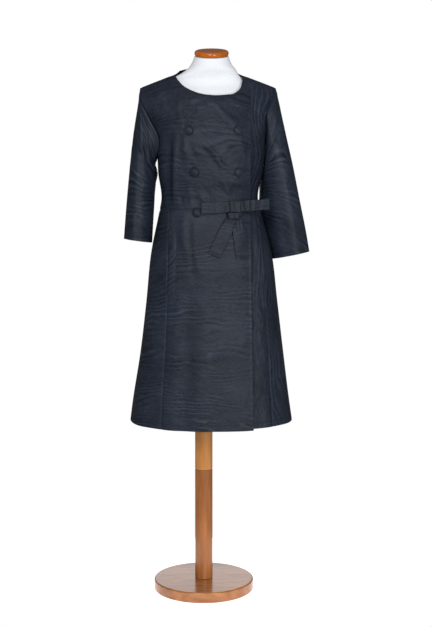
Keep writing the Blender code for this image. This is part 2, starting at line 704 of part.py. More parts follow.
def bow_loop(name, root_x, end_x):
    """A flat loop of ribbon: out along its back, round its end and back along its front."""
    toward = math.copysign(1, end_x - root_x)
    straight = np.linspace(root_x, end_x - toward * LOOP_HALF_GAP * 1.3, 7)
    depth, height = band_point(straight)
    turn = np.linspace(math.pi / 2, -math.pi / 2, 7)[1:-1]
    end_depth, end_height = band_point(np.array([straight[-1]]))
    bend_x = straight[-1] + toward * LOOP_HALF_GAP * 1.3 * np.cos(turn)
    bend_y = end_depth + LOOP_HALF_GAP * np.sin(turn)
    x = np.concatenate([straight, bend_x, straight[::-1]])
    y = np.concatenate([depth + LOOP_HALF_GAP, bend_y, depth[::-1] - LOOP_HALF_GAP])
    z = np.concatenate([height, np.full(len(turn), end_height[0]), height[::-1]])
    levels = np.linspace(-0.5, 0.5, 3) * BAND_HEIGHT
    points = np.stack([np.stack([x, y, z + level], axis=1) for level in levels])
    normals = grid_normals(points)
    centre = points.mean(axis=(0, 1))
    if ((points - centre) * normals)[..., 1].sum() < 0:
        normals = -normals
    return wall(name, points, normals, RIBBON_SILK, RIBBON)


def soft_block(name, x_range, y_range, z_range, rounding):
    """A small pad of folded ribbon with rounded edges."""
    made = bmesh.new()
    bmesh.ops.create_cube(made, size=1.0)
    low = np.array([x_range[0], y_range[0], z_range[0]])
    high = np.array([x_range[1], y_range[1], z_range[1]])
    for vertex in made.verts:
        vertex.co = (low + high) / 2 + np.array(vertex.co) * (high - low)
    mesh = bpy.data.meshes.new(name)
    made.to_mesh(mesh)
    made.free()
    mesh.materials.append(material(name, RIBBON_SILK, 0.45))
    block = bpy.data.objects.new(name, mesh)
    bpy.context.scene.collection.objects.link(block)
    bevel = block.modifiers.new("round", "BEVEL")
    bevel.width = rounding
    bevel.segments = 2
    mesh.shade_smooth()
    return block


def bow_tail(name, top_x, top_z, end_x, end_z, stand_top, stand_end):
    """A ribbon tail hanging over the skirt, its end cut square."""
    t = np.linspace(0, 1, 9)[:, None]
    across = np.linspace(-0.5, 0.5, 5)[None, :] * TAIL_WIDTH
    run = np.array([end_x - top_x, end_z - top_z])
    run /= np.linalg.norm(run)
    widening = 0.80 + 0.20 * ease(t / 0.35)
    x = top_x + (end_x - top_x) * t - run[1] * across * widening
    z = top_z + (end_z - top_z) * t + run[0] * across * widening
    z = np.minimum(z, top_z)
    stand = stand_top + (stand_end - stand_top) * ease(t / 0.8) + 0 * across
    points, normals = on_front(x, z, stand)
    return wall(name, points, normals, RIBBON_SILK, RIBBON)


def bow():
    """Flat bow: two loops, the wrapped core, the knot below it, two tails and the tack behind."""
    bow_loop("bow_loop_right", CORE_X[0] - 2 * SEAM, BAND_LEFT_X)
    bow_loop("bow_loop_left", CORE_X[1] + 2 * SEAM, BAND_RIGHT_X)
    core_depth = float(band_point(np.array([sum(CORE_X) / 2]))[0][0])
    core_y = (core_depth - 0.0046, core_depth + 0.0065)
    soft_block("bow_core", CORE_X, core_y, CORE_Z, 0.0020)
    knot_y = (core_depth - 0.0050, core_depth + 0.0075)
    soft_block("bow_knot", KNOT_X, knot_y, KNOT_Z, 0.0035)
    tack_x = (0.0740, 0.0860)
    tack_z = (1.0900, 1.1040)
    front_y = on_front(np.array(tack_x), np.array([sum(tack_z) / 2] * 2))[0][:, 1].min()
    soft_block("bow_tack", tack_x, (core_y[1] + SEAM, front_y - 0.0009), tack_z, 0.0010)
    for values in TAILS:
        bow_tail(**dict(zip(TAIL_COLUMNS, values)))


def dress_form():
    """The form's torso, shoulders and neck: one smooth closed solid of rounded sections."""
    known = column(FORM, FORM_COLUMNS, "z")
    even = np.linspace(0, 1, FORM_ROWS)
    z = known[0] + (known[-1] - known[0]) * (1 - (1 - even) ** 1.6)
    size = {name: smooth(known, column(FORM, FORM_COLUMNS, name), z)[:, None]
            for name in FORM_COLUMNS[1:]}
    angles = np.linspace(0, 2 * math.pi, FORM_SEGMENTS, endpoint=False)[None, :]
    depth = np.where(np.cos(angles) > 0, size["front_depth"], size["back_depth"])
    radius = rounded_section(angles, size["half_width"], depth, 2.1)
    x = size["centre_x"] + radius * np.sin(angles)
    tilt = CAP_TILT * ease((z - NECK_BASE_Z) / (known[-1] - NECK_BASE_Z))[:, None]
    y = size["centre_y"] - radius * np.cos(angles) * np.cos(tilt)
    height = z[:, None] - radius * np.cos(angles) * np.sin(tilt)
    points = np.stack([x, y, height], axis=-1).reshape(-1, 3)
    faces = []
    for ring in range(FORM_ROWS - 1):
        for i in range(FORM_SEGMENTS):
            j = (i + 1) % FORM_SEGMENTS
            low, high = ring * FORM_SEGMENTS, (ring + 1) * FORM_SEGMENTS
            faces.append((low + i, low + j, high + j, high + i))
    faces.append(tuple(range(FORM_SEGMENTS))[::-1])
    faces.append(tuple((FORM_ROWS - 1) * FORM_SEGMENTS + i for i in range(FORM_SEGMENTS)))
    return add_object("form_torso", points, faces, JERSEY, 0.8)


def rounded_disc(radius, low, high, rounding):
    """Profile of a disc with rounded upper and lower edges."""
    turn = np.radians([0, 30, 60, 90])
    bottom = [(radius - rounding + rounding * math.sin(a), low + rounding * (1 - math.cos(a)))
              for a in turn]
    top = [(radius - rounding + rounding * math.cos(a), high - rounding * (1 - math.sin(a)))
           for a in turn]
    return bottom + top


def chamfered_rod(low, high):
    """Profile of the pole between two heights with small chamfers at its ends."""
    inner = POLE_RADIUS - POLE_CHAMFER
    return [(inner, low), (POLE_RADIUS, low + POLE_CHAMFER), (POLE_RADIUS, high - POLE_CHAMFER),
            (inner, high)]


def stand():
    """Round base, two-part pole and the tilted cap on the neck."""
    base = rounded_disc(BASE_RADIUS, 0.0, BASE_HEIGHT, BASE_ROUND)
    turned("stand_base", base, WOOD_SEGMENTS, RED_WOOD, 0.25)
    lower = chamfered_rod(BASE_HEIGHT + SEAM, POLE_JOINT_Z - SEAM / 2)
    turned("stand_pole_lower", lower, WOOD_SEGMENTS, RED_WOOD, 0.3)
    upper = chamfered_rod(POLE_JOINT_Z + SEAM / 2, FORM[0][0] - SEAM)
    turned("stand_pole_upper", upper, WOOD_SEGMENTS, OCHRE_WOOD, 0.3)
    neck_top = dict(zip(FORM_COLUMNS, FORM[-1]))
    tilt_cos, tilt_sin = math.cos(CAP_TILT), math.sin(CAP_TILT)
    axes = np.array([[1, 0, 0], [0, tilt_cos, tilt_sin], [0, -tilt_sin, tilt_cos]])
    middle = np.array([neck_top["centre_x"], neck_top["centre_y"], neck_top["z"]])
    origin = middle + SEAM * axes[2]
    cap = rounded_disc(CAP_RADIUS, 0.0, CAP_HEIGHT, CAP_ROUND)
    turned("form_neck_cap", cap, WOOD_SEGMENTS, OCHRE_WOOD, 0.25, frame=(origin, axes))


bodice_front("bodice_front_right", -1, RIGHT_NECKLINE, LAP_EDGE_WAIST_X, on_top, SILK)
bodice_front("bodice_front_left", 1, LEFT_NECKLINE, UNDERLAP_X, under_lap, SILK)
bodice_back()
skirt()
sleeve("sleeve_right", -1, RIGHT_SLEEVE)
sleeve("sleeve_left", 1, LEFT_SLEEVE)
buttons()
pocket_welt("pocket_welt_right", -1, on_top)
bow()
dress_form()
stand()
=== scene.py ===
import math

import bmesh
import bpy
import mathutils
import numpy as np
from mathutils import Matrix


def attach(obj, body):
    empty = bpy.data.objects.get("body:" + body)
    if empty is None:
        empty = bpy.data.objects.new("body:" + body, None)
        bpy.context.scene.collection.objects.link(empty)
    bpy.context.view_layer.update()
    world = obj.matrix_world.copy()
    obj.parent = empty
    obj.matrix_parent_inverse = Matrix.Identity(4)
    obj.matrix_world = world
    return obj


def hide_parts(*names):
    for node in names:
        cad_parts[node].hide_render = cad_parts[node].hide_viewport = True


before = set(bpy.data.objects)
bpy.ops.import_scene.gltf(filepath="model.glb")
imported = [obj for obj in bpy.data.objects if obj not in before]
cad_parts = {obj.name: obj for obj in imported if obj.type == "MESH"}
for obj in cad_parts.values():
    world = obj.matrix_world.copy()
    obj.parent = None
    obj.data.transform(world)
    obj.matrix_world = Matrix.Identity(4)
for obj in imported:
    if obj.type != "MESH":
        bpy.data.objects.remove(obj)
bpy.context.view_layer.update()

# The coat's shape. The cloth is interfaced watered silk, cut to fit the bust and the waist and
# flared below it. Its outer face is worked out from sections and the shoulder line, and each panel
# below is a stretch of that face between its own seams.
MM = 0.001
CLOTH = 0.0018
LAP_STEP = 0.0041            # depth from the upper front's face to the lower front's
HEM_Z, WAIST_Z, BUST_Z, SHOULDER_Z = 0.4745, 1.079, 1.250, 1.4240
SHOULDER_X, NECK_X = 0.1915, 0.0955
SHOULDER_FALL, RIDGE_ROUND, BACK_NECK_RISE = 0.395, 0.040, 0.050
TIP_ANGLE, SPREAD_ANGLE, SIDE_ANGLE = math.radians(68.4), math.radians(60), math.radians(90)
BELOW_BUST = 0.10            # drop below the bust for each unit of rise
SQUARENESS = 2.35
FRONT, BACK = -1, 1
WIDEST_ANGLE, HALVINGS = 1.75, 36
# height, then the sizes named here
SIZES = ("centre_x", "half_width", "front_depth", "back_depth")
SECTIONS = (
    (HEM_Z, 0.021, 0.2306, 0.15, 0.168),
    (0.534, 0.0205, 0.2225, 0.145, 0.16),
    (0.677, 0.023, 0.2025, 0.135, 0.148),
    (0.819, 0.023, 0.186, 0.128, 0.139),
    (0.962, 0.0215, 0.17, 0.122, 0.128),
    (WAIST_Z, 0.018, 0.143, 0.109, 0.101),
    (1.104, 0.017, 0.1375, 0.107, 0.096),
    (1.185, 0.019, 0.148, 0.1175, 0.102),
    (BUST_Z, 0.021, 0.153, 0.122, 0.106),
    (1.34, 0.014, 0.153, 0.122, 0.106),
    (SHOULDER_Z, 0.012, 0.153, 0.122, 0.106),
)
# soft folds of the skirt: middle and spread in degrees, depth, and where each starts and is full
FOLDS = (
    (-66, 9, 0.004, 1, 0.5),
    (-50, 9, -0.0028, 1.02, 0.55),
    (-29, 9, -0.0048, 0.99, 0.62),
    (-10, 10, 0.0026, 1, 0.62),
    (62, 9, -0.004, 0.98, 0.52),
    (104, 10, 0.005, 1, 0.5),
    (127, 10, -0.006, 1.02, 0.5),
    (152, 11, 0.006, 0.96, 0.52),
    (-104, 10, 0.0045, 1, 0.52),
    (-130, 10, -0.006, 0.98, 0.5),
    (-155, 11, 0.0065, 1, 0.52),
)


def smooth(known, values, at):
    """Cubic Hermite curve through a table, its slopes taken from each row's two neighbours."""
    known, values, at = np.asarray(known), np.asarray(values), np.asarray(at, dtype=float)
    slopes = np.gradient(values, known, axis=0)
    row = np.clip(np.searchsorted(known, at) - 1, 0, len(known) - 2)
    step = known[row + 1] - known[row]
    u = (at - known[row]) / step
    extra = (1,) * (values.ndim - 1)
    u, step = u.reshape(u.shape + extra), step.reshape(step.shape + extra)
    return (values[row] * (2 * u**3 - 3 * u**2 + 1) + slopes[row] * step * (u**3 - 2 * u**2 + u)
            + values[row + 1] * (3 * u**2 - 2 * u**3) + slopes[row + 1] * step * (u**3 - u**2))


def unit(vectors):
    """The same directions at unit length."""
    return vectors / np.linalg.norm(vectors, axis=-1, keepdims=True)


def ease(u):
    """Smooth step from 0 to 1: three u squared less two u cubed."""
    u = np.clip(u, 0, 1)
    return u * u * (3 - 2 * u)


def section(name, z):
    """A section size at any height of the coat."""
    known, *sizes = np.array(SECTIONS).T
    return smooth(known, sizes[SIZES.index(name)], z)


def rounded_section(theta, half_width, depth, squareness=SQUARENESS):
    """Radius of a rounded square: |sin / half width|^n + |cos / depth|^n, to the power -1/n."""
    across = (np.abs(np.sin(theta)) / half_width) ** squareness
    along = (np.abs(np.cos(theta)) / depth) ** squareness
    return (across + along) ** (-1 / squareness)


def folds(angle, z):
    """Sum of the soft folds: each a bell across its angle that deepens from its start downwards."""
    total = np.zeros(np.broadcast(angle, z).shape)
    for middle, spread, depth, start_z, full_z in FOLDS:
        across = (np.degrees(angle) - middle) / spread
        total = total + depth * np.exp(-across**2) * ease((start_z - z) / (start_z - full_z))
    return total


def arch_top(x, side):
    """Height of the shoulder line at a distance from the middle, lifted over the nape at the back."""
    line = np.hypot(SHOULDER_X, RIDGE_ROUND) - np.hypot(x, RIDGE_ROUND)
    inside = np.clip(1 - (x / NECK_X) ** 2, 0, None)
    return SHOULDER_Z + SHOULDER_FALL * line + (BACK_NECK_RISE * inside**2 if side == BACK else 0)


def across_body(theta, rise, side):
    """Distance from the middle, depth and ring height of a point of the coat's outer face."""
    ring_z = BUST_Z + np.minimum(rise, 0) * BELOW_BUST
    depth = section("front_depth" if side == FRONT else "back_depth", ring_z)
    full_angle = theta if side == FRONT else np.sign(theta) * (math.pi - np.abs(theta))
    radius = rounded_section(theta, section("half_width", ring_z), depth) + folds(full_angle, ring_z)
    ring_x, ring_y = radius * np.sin(theta), radius * np.cos(theta)
    spread = ease(np.maximum(rise, 0) / SPREAD_ANGLE)
    return ring_x + (SHOULDER_X * theta / TIP_ANGLE - ring_x) * spread, ring_y, ring_z


def body(theta, rise, side):
    """Outer face of the coat: rounded sections below the bust, an elliptic arch above it."""
    x, y, ring_z = across_body(theta, rise, side)
    up = np.maximum(rise, 0)
    z = ring_z + (arch_top(x, side) - BUST_Z) * np.sin(up)
    return np.stack([x + section("centre_x", z), side * y * np.cos(up), z], axis=-1)


def body_normals(theta, rise, side, step=1e-4):
    """Outward unit normals of that face, from differences along its two parameters."""
    along = body(theta + step, rise, side) - body(theta - step, rise, side)
    up = body(theta, rise + step, side) - body(theta, rise - step, side)
    return unit(-side * np.cross(along, up))


def rise_at(x, z, side):
    """Rise of a point given by its distance from the middle and its height."""
    above = np.clip((z - BUST_Z) / (arch_top(x, side) - BUST_Z), 0, 1)
    return np.where(z < BUST_Z, (z - BUST_Z) / BELOW_BUST, np.arcsin(above))


def angle_at(x, rise, side):
    """Angle of a point given by its distance from the middle and its rise, found by halving."""
    shape = np.broadcast(x, rise).shape
    low, high = np.full(shape, -WIDEST_ANGLE), np.full(shape, WIDEST_ANGLE)
    for _ in range(HALVINGS):
        middle = (low + high) / 2
        beyond = across_body(middle, rise, side)[0] > x
        high = np.where(beyond, middle, high)
        low = np.where(beyond, low, middle)
    return (low + high) / 2


def place(x, z, side=FRONT):
    """Angle and rise of points given by world x and height."""
    from_middle = x - section("centre_x", z)
    rise = rise_at(from_middle, z, side)
    return angle_at(from_middle, rise, side), rise


# Soft creases in the silk: each runs from one point to another of the cloth, as a
# ridge (positive) or a trough (negative) with a bell across it that fades at both ends. Each row has
# world x and height of both points, width, height and bow, in millimetres.
CREASE_DEPTH, SKIRT_CREASE_DEPTH = 1.35, 0.8
FADE_BEYOND, FADE_LENGTH = 0.12, 0.40
FRONT_CREASES = (
    # drag lines from the neckline to the upper button and from the bust to the middle one
    (20, 1385, 90, 1312, 10, 2.2, 4),
    (28, 1370, 86, 1303, 7, -1.4, 4),
    (60, 1392, 112, 1368, 8, 1, 2),
    (2, 1262, 52, 1196, 8, 2.6, -4),
    (46, 1205, 94, 1180, 7, 1.7, 2),
    (-8, 1250, 45, 1182, 8, -1.5, -4),
    (12, 1245, 66, 1205, 7, -1.2, 0),
    (-50, 1288, -45, 1210, 8, 1.6, 3),
    (-40, 1270, -12, 1205, 9, -1, 4),
    (-18, 1320, 50, 1270, 12, 1.2, 8),
    (52, 1214, 26, 1240, 6, 1.2, 2),
    (-58, 1345, -20, 1318, 8, 1.4, 3),
    (-26, 1378, -30, 1335, 7, -1, -4),
    (-70, 1390, -60, 1325, 9, 1.2, 3),
    (-105, 1400, -88, 1350, 9, -1.2, 3),
    (100, 1285, 120, 1215, 8, 1, 3),
    (-64, 1250, -36, 1232, 6, 1, 2),
    (-60, 1190, -30, 1165, 7, -1, 2),
    # fullness pressed in above the waist seam, under the middle buttons
    (50, 1165, 75, 1118, 9, 1.8, 0),
    (75, 1160, 110, 1150, 8, 1.7, 2),
    (78, 1140, 104, 1128, 6, -1.3, 0),
    (-40, 1150, -30, 1090, 8, 1.4, 2),
    (-12, 1132, 4, 1095, 8, 2, 0),
    (14, 1128, 22, 1092, 7, -1.2, 0),
    (-62, 1120, -56, 1088, 6, -1.2, 0),
    # the fold from the bust to the waist beside the darker side
    (-76, 1290, -80, 1088, 10, 4.2, 3),
    (-95, 1285, -97, 1100, 13, -4.8, 0),
    (150, 1270, 144, 1120, 10, -1.6, 0),
    # pulls round the armholes
    (-100, 1330, -128, 1270, 10, -1.6, 3),
    (-142, 1385, -128, 1330, 10, 1.2, 2),
    (150, 1360, 156, 1300, 9, -1.4, 0),
    (140, 1330, 160, 1275, 8, 1.2, 0),
    # below the waist seam, fanning from the bow and the pocket
    (-55, 1068, -40, 930, 12, 2, 4),
    (-74, 1070, -70, 960, 9, -1.8, 2),
    (-20, 1050, -12, 905, 13, 2, 6),
    (-40, 1058, -20, 880, 10, -1.5, 6),
    (10, 1060, 25, 940, 12, -1.2, 2),
    (-96, 1066, -105, 950, 9, 1.2, 0),
    (-30, 900, -70, 780, 14, 1.4, 6),
    (150, 1060, 160, 940, 8, 1.6, 2),
    (138, 1066, 144, 930, 6, -1, 2),
    (166, 1050, 176, 900, 8, -1.4, 2),
    (150, 900, 162, 700, 10, 1.2, 4),
    (172, 860, 190, 600, 12, -1.2, 4),
    # the pressed free edge of the upper front, and the pocket's mouth
    (129.2, 1400, 129.2, 1085, 3, 0.8, 0),
    (129, 1074, 136, 478, 3, 2.2, 0),
    (-95.5, 990, -99, 856, 3, -2.5, 0),
)
BACK_CREASES = (
    (-80, 1350, -30, 1290, 12, 1.4, 4),
    (100, 1360, 50, 1300, 11, 1.6, 3),
    (-70, 1250, -60, 1095, 12, 3.2, 3),
    (-90, 1240, -82, 1100, 12, -3, 2),
    (104, 1245, 96, 1095, 12, 3, 3),
    (124, 1240, 116, 1100, 12, -2.8, 2),
    (-30, 1180, 0, 1110, 10, 1.6, 3),
    (20, 1160, 40, 1100, 10, -1.4, 3),
    (60, 1190, 70, 1110, 9, 1.4, 2),
    (-10, 1120, 45, 1130, 9, -1.3, 4),
    (-50, 1066, -58, 900, 13, 2.2, 4),
    (0, 1066, -2, 930, 11, -1.8, 3),
    (45, 1066, 52, 880, 13, 2, 4),
    (95, 1060, 106, 920, 11, -1.6, 4),
    (-100, 1060, -112, 930, 11, 1.5, 3),
)


def crease_heights(points, table):
    """Sum of the creases: a bell across each line, which may bow, faded in and out along it."""
    x, z = points[..., 0], points[..., 2]
    total = np.zeros(x.shape)
    depth = np.where(z > WAIST_Z, CREASE_DEPTH, SKIRT_CREASE_DEPTH)
    for values in table:
        x0, z0, x1, z1, width, height, bow = np.array(values) * MM
        run_x, run_z = x1 - x0, z1 - z0
        length = math.hypot(run_x, run_z)
        along = ((x - x0) * run_x + (z - z0) * run_z) / length**2
        across = ((x - x0) * run_z - (z - z0) * run_x) / length
        across = across - bow * np.sin(math.pi * np.clip(along, 0, 1))
        inside = np.minimum(along, 1 - along) + FADE_BEYOND
        total = total + depth * height * np.exp(-(across / width) ** 2) * ease(inside / FADE_LENGTH)
    return total


def lengths_along(points, axis):
    """Cumulated length along one axis of a grid of points, starting at nothing."""
    steps = np.linalg.norm(np.diff(points, axis=axis), axis=-1)
    start = np.zeros_like(np.take(steps, [0], axis=axis))
    return np.concatenate([start, np.cumsum(steps, axis=axis)], axis=axis)


def grid_normals(points, like, tube=False):
    """Unit normals of a grid of points, turned to agree with given directions."""
    along = np.gradient(points, axis=1)
    if tube:
        along = np.roll(points, -1, axis=1) - np.roll(points, 1, axis=1)
    normals = unit(np.cross(along, np.gradient(points, axis=0)))
    return -normals if (normals * like).sum() < 0 else normals


def quads(index):
    """The cells of a grid of vertex numbers, as faces."""
    corners = (index[..., :-1, :-1], index[..., :-1, 1:], index[..., 1:, 1:], index[..., 1:, :-1])
    return np.stack(corners, axis=-1).reshape(-1, 4)


def closed(index):
    """The same grid with its first column again at its end."""
    return np.hstack([index, index[:, :1]])


def linked(name, data):
    """A new object in the scene."""
    holder = bpy.data.objects.new(name, data)
    bpy.context.scene.collection.objects.link(holder)
    return holder


def dressed(name, node, mesh, material, sharp=50):
    """A piece from its mesh, in the place of its CAD node."""
    mesh.materials.append(material)
    mesh.shade_smooth()
    mesh.set_sharp_from_angle(angle=math.radians(sharp))
    piece = linked(name, mesh)
    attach(piece, "root")
    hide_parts(node)
    return piece


def cloth_piece(name, node, outer, normals, silk, sheet, thickness=CLOTH, slot="watered_silk",
                tube=False, uv=None):
    """A closed wall from a grid: its outer face, the same grid moved in, and its turned edges.

    Its UV map holds metres: across the cloth from its middle, and up from its lower edge.
    """
    rows, columns = outer.shape[:2]
    count = rows * columns
    inner = outer - normals * thickness
    index = np.arange(count).reshape(rows, columns)
    index = closed(index) if tube else index
    strips = [(index[0, 1:], index[0, :-1]), (index[-1, :-1], index[-1, 1:])]
    if not tube:
        strips += [(index[:-1, 0], index[1:, 0]), (index[1:, -1], index[:-1, -1])]
    rims = [np.stack([start, end, end + count, start + count], axis=-1) for start, end in strips]
    faces = np.vstack([quads(index), quads(index)[:, ::-1] + count] + rims)
    i, j = rows // 2, columns // 2
    turn = np.cross(outer[i, j + 1] - outer[i, j], outer[i + 1, j] - outer[i, j])
    if np.dot(turn, normals[i, j]) < 0:
        faces = faces[:, ::-1]
    mesh = bpy.data.meshes.new(name)
    mesh.vertices.add(2 * count)
    mesh.vertices.foreach_set("co", np.concatenate([outer, inner]).astype(np.float32).ravel())
    mesh.loops.add(faces.size)
    mesh.loops.foreach_set("vertex_index", faces.astype(np.int32).ravel())
    mesh.polygons.add(len(faces))
    mesh.polygons.foreach_set("loop_start", np.arange(0, faces.size, 4, dtype=np.int32))
    if uv is None:
        across = lengths_along(outer, 1)
        uv = np.stack([across - across[:, -1:] / 2, lengths_along(outer, 0)], axis=-1)
    flat = np.concatenate([uv.reshape(-1, 2)] * 2)
    layer = mesh.uv_layers.new(name="cloth")
    layer.data.foreach_set("uv", flat[faces.ravel()].astype(np.float32).ravel())
    mesh.update()
    mesh.validate()
    piece = dressed(name, node, mesh, silk)


# The watered silk itself: a ribbed weave whose ribs were pressed into one another, so wavy bands of
# brighter and darker silk run along them. The pattern lies in the cloth's own metres, and each
# panel is cut with its ribs in its own direction.
SILK_DARK = (0.0060, 0.0090, 0.0165, 1)
SILK_LIGHT = (0.0510, 0.0670, 0.1060, 1)
SILK_ROUGHNESS, SILK_GLOSS, WATER_GLOSS = 0.50, 0.22, -0.10
RIB_PITCH, WATER_PITCH, FINE_WATER_PITCH = 0.0011, 0.0145, 0.0076
SHIFT_RATIO = 0.37
# the silk's noises: stretch, shift, detail and roughness
SILK_NOISES = {
    "wander": ((3.4, 7.5, 1.0), (0, 0, 0), 2.5, 0.50),
    "drift": ((16.0, 46.0, 1.0), (4.0, 2.0, 0), 2.0, 0.50),
    "calm": ((9.0, 14.0, 1.0), (7.0, 1.0, 0), 3.0, 0.50),
    "cloudy": ((7.0, 13.0, 1.0), (1.0, 5.0, 0), 4.0, 0.62),
    "grain": ((95.0, 380.0, 1.0), (3.0, 8.0, 0), 3.0, 0.50),
    "crumple": ((24.0, 34.0, 1.0), (2.0, 6.0, 0), 3.5, 0.58),
}
WANDER, DRIFT, FINE_BEND = 8.5, 1.3, 1.9            # how far the bands stray, in bands
BROAD_SHARE, NARROW_SHARE, WATER_MIDDLE = 0.68, 0.32, 0.36
BROAD_SHARPNESS, NARROW_SHARPNESS = 2.0, 1.5
CALM_BELOW, CALM_GAIN, LEAST_WATER = 0.43, 5.0, 0.06
# the line's tone darkens stitching, and paints the shadow in the pocket's mouth
CLOUD_TONE, GRAIN_TONE, WATER_TONE, RIB_TONE, STITCH_AND_SHADOW_TONE = 0.62, 0.50, 0.46, 0.02, -0.55
WATER_RELIEF, RIB_RELIEF, LINE_RELIEF = 0.9, 0.25, -1.4
RELIEF, RELIEF_DEPTH, CRUMPLE_DEPTH = 0.32, 0.0004, 0.0036


class Nodes:
    """Adds shader nodes one after another and joins their sockets."""

    def __init__(self, name, kind=bpy.data.materials):
        self.owner = kind.new(name)
        self.owner.use_nodes = True
        self.tree = self.owner.node_tree

    def join(self, socket, value):
        """Sets a socket to a value, or links it to another node's output."""
        if isinstance(value, bpy.types.NodeSocket):
            self.tree.links.new(value, socket)
        else:
            socket.default_value = value

    def add(self, kind, inputs=None, **settings):
        """A node with its settings, and its inputs given as values or as other nodes' outputs."""
        node = self.tree.nodes.new(kind)
        for name, value in settings.items():
            setattr(node, name, value)
        for key, value in (inputs or {}).items():
            self.join(node.inputs[key], value)
        return node

    def math(self, operation, first, second=0.0, third=0.0):
        """A Math node's output."""
        node = self.add("ShaderNodeMath", {0: first, 1: second, 2: third}, operation=operation)
        return node.outputs[0]

    def total(self, start, *terms):
        """A start value plus each term times its share."""
        for term, share in terms:
            start = self.math("MULTIPLY_ADD", term, share, start)
        return start

    def noise(self, vector, stretch, shift=(0, 0, 0), detail=3.0, roughness=0.5, scale=1.0):
        """A noise value from 0 to 1, over a vector that is stretched and shifted first."""
        place = self.add("ShaderNodeMapping", {"Vector": vector, "Scale": stretch, "Location": shift})
        inputs = {"Vector": place.outputs[0], "Scale": scale, "Detail": detail, "Roughness": roughness}
        return self.add("ShaderNodeTexNoise", inputs).outputs["Fac"]

    def bump(self, height, strength, distance, normal=None):
        """A Bump node's normal, over another one where that is given."""
        inputs = {"Height": height, "Strength": strength, "Distance": distance}
        if normal is not None:
            inputs["Normal"] = normal
        return self.add("ShaderNodeBump", inputs).outputs[0]

    def blend(self, factor, first, second):
        """Two colours mixed by a factor."""
        return self.add("ShaderNodeMix", {0: factor, 6: first, 7: second}, data_type="RGBA").outputs[2]

    def finish(self, sockets, shader="Principled BSDF"):
        """The material or world, with its shader's own sockets set or linked."""
        for name, value in sockets.items():
            self.join(self.tree.nodes[shader].inputs[name], value)
        return self.owner


def watered_silk(name, turn=0.0, shift=0.0, contrast=1.0, line=None, from_uv=True, crumpled=1.0,
                 light=0.22):
    """Silk whose ribs lie at an angle to the cloth's width, with an optional sewn line.

    The line is given as the UV axis across it, its place on that axis and half its width.
    Along hems and cuffs it darkens the stitching, and at the pocket's mouth it is a painted shadow.
    """
    n = Nodes(name)
    source = n.add("ShaderNodeUVMap", uv_map="cloth") if from_uv else n.add("ShaderNodeTexCoord")
    flat = source.outputs["UV" if from_uv else "Object"]
    turned = n.add("ShaderNodeMapping", {"Vector": flat, "Rotation": (0, 0, math.radians(turn)),
                                         "Location": (shift, SHIFT_RATIO * shift, shift)}).outputs[0]
    across = n.add("ShaderNodeSeparateXYZ", {0: turned}).outputs[1]
    noise = {key: n.noise(turned, *values) for key, values in SILK_NOISES.items()}
    bend = n.total(0.0, (noise["drift"], DRIFT), (noise["wander"], WANDER))

    def bands(pitch, bent, sharpness):
        """Wavy bands along the ribs, from 0 to 1."""
        phase = n.math("MULTIPLY_ADD", bend, bent, n.math("DIVIDE", across, pitch))
        wave = n.math("SINE", n.math("MULTIPLY", phase, math.tau))
        return n.math("POWER", n.math("MULTIPLY_ADD", wave, 0.5, 0.5), sharpness)

    strength = n.math("MULTIPLY", n.math("SUBTRACT", noise["calm"], CALM_BELOW), CALM_GAIN)
    strength = n.add("ShaderNodeClamp", {0: strength, 1: LEAST_WATER, 2: 1.0}).outputs[0]
    water = n.total(-WATER_MIDDLE, (bands(WATER_PITCH, 1.0, BROAD_SHARPNESS), BROAD_SHARE),
                    (bands(FINE_WATER_PITCH, FINE_BEND, NARROW_SHARPNESS), NARROW_SHARE))
    water = n.math("MULTIPLY", n.math("MULTIPLY", water, strength), contrast)
    ribs = n.math("SINE", n.math("MULTIPLY", across, math.tau / RIB_PITCH))
    tone = n.total(light - (CLOUD_TONE + GRAIN_TONE) / 2, (noise["cloudy"], CLOUD_TONE),
                   (noise["grain"], GRAIN_TONE), (water, WATER_TONE), (ribs, RIB_TONE))
    tone = n.add("ShaderNodeClamp", {0: tone}).outputs[0]
    height = n.total(0.0, (water, WATER_RELIEF), (ribs, RIB_RELIEF))
    if line is not None:
        axis, middle, half_width = line
        place_on_it = n.add("ShaderNodeSeparateXYZ", {0: flat}).outputs[axis]
        # darkened line: stitching along hems and cuffs, a painted shadow at the pocket's mouth
        stitch_and_shadow_line = n.math("COMPARE", place_on_it, middle, half_width)
        tone = n.math("MULTIPLY", tone, n.total(1.0, (stitch_and_shadow_line, STITCH_AND_SHADOW_TONE)))
        height = n.total(height, (stitch_and_shadow_line, LINE_RELIEF))
    soft = n.bump(noise["crumple"], crumpled, CRUMPLE_DEPTH)
    return n.finish({"Base Color": n.blend(tone, SILK_DARK, SILK_LIGHT),
                     "Roughness": n.total(SILK_ROUGHNESS, (water, WATER_GLOSS)),
                     "Specular IOR Level": SILK_GLOSS,
                     "Normal": n.bump(height, RELIEF, RELIEF_DEPTH, soft)})


# Bodice: two lapped fronts and a back, seamed at the shoulders, sides and waist. The wearer's right
# front lies on top and its free edge runs down past the middle.
LAP_EDGE_WAIST_X, LAP_EDGE_HEM_X, UNDERLAP_X = 0.131, 0.138, -0.068
LAP_CLEAR_ANGLE, LAP_RISE_ANGLE, LAP_TOP_RISE = 3.0, 12.0, (0.88, 1.40)
BACK_NECK_Z = 1.4870
SEAM_DIP, SEAM_REACH = 0.0015, 0.0030
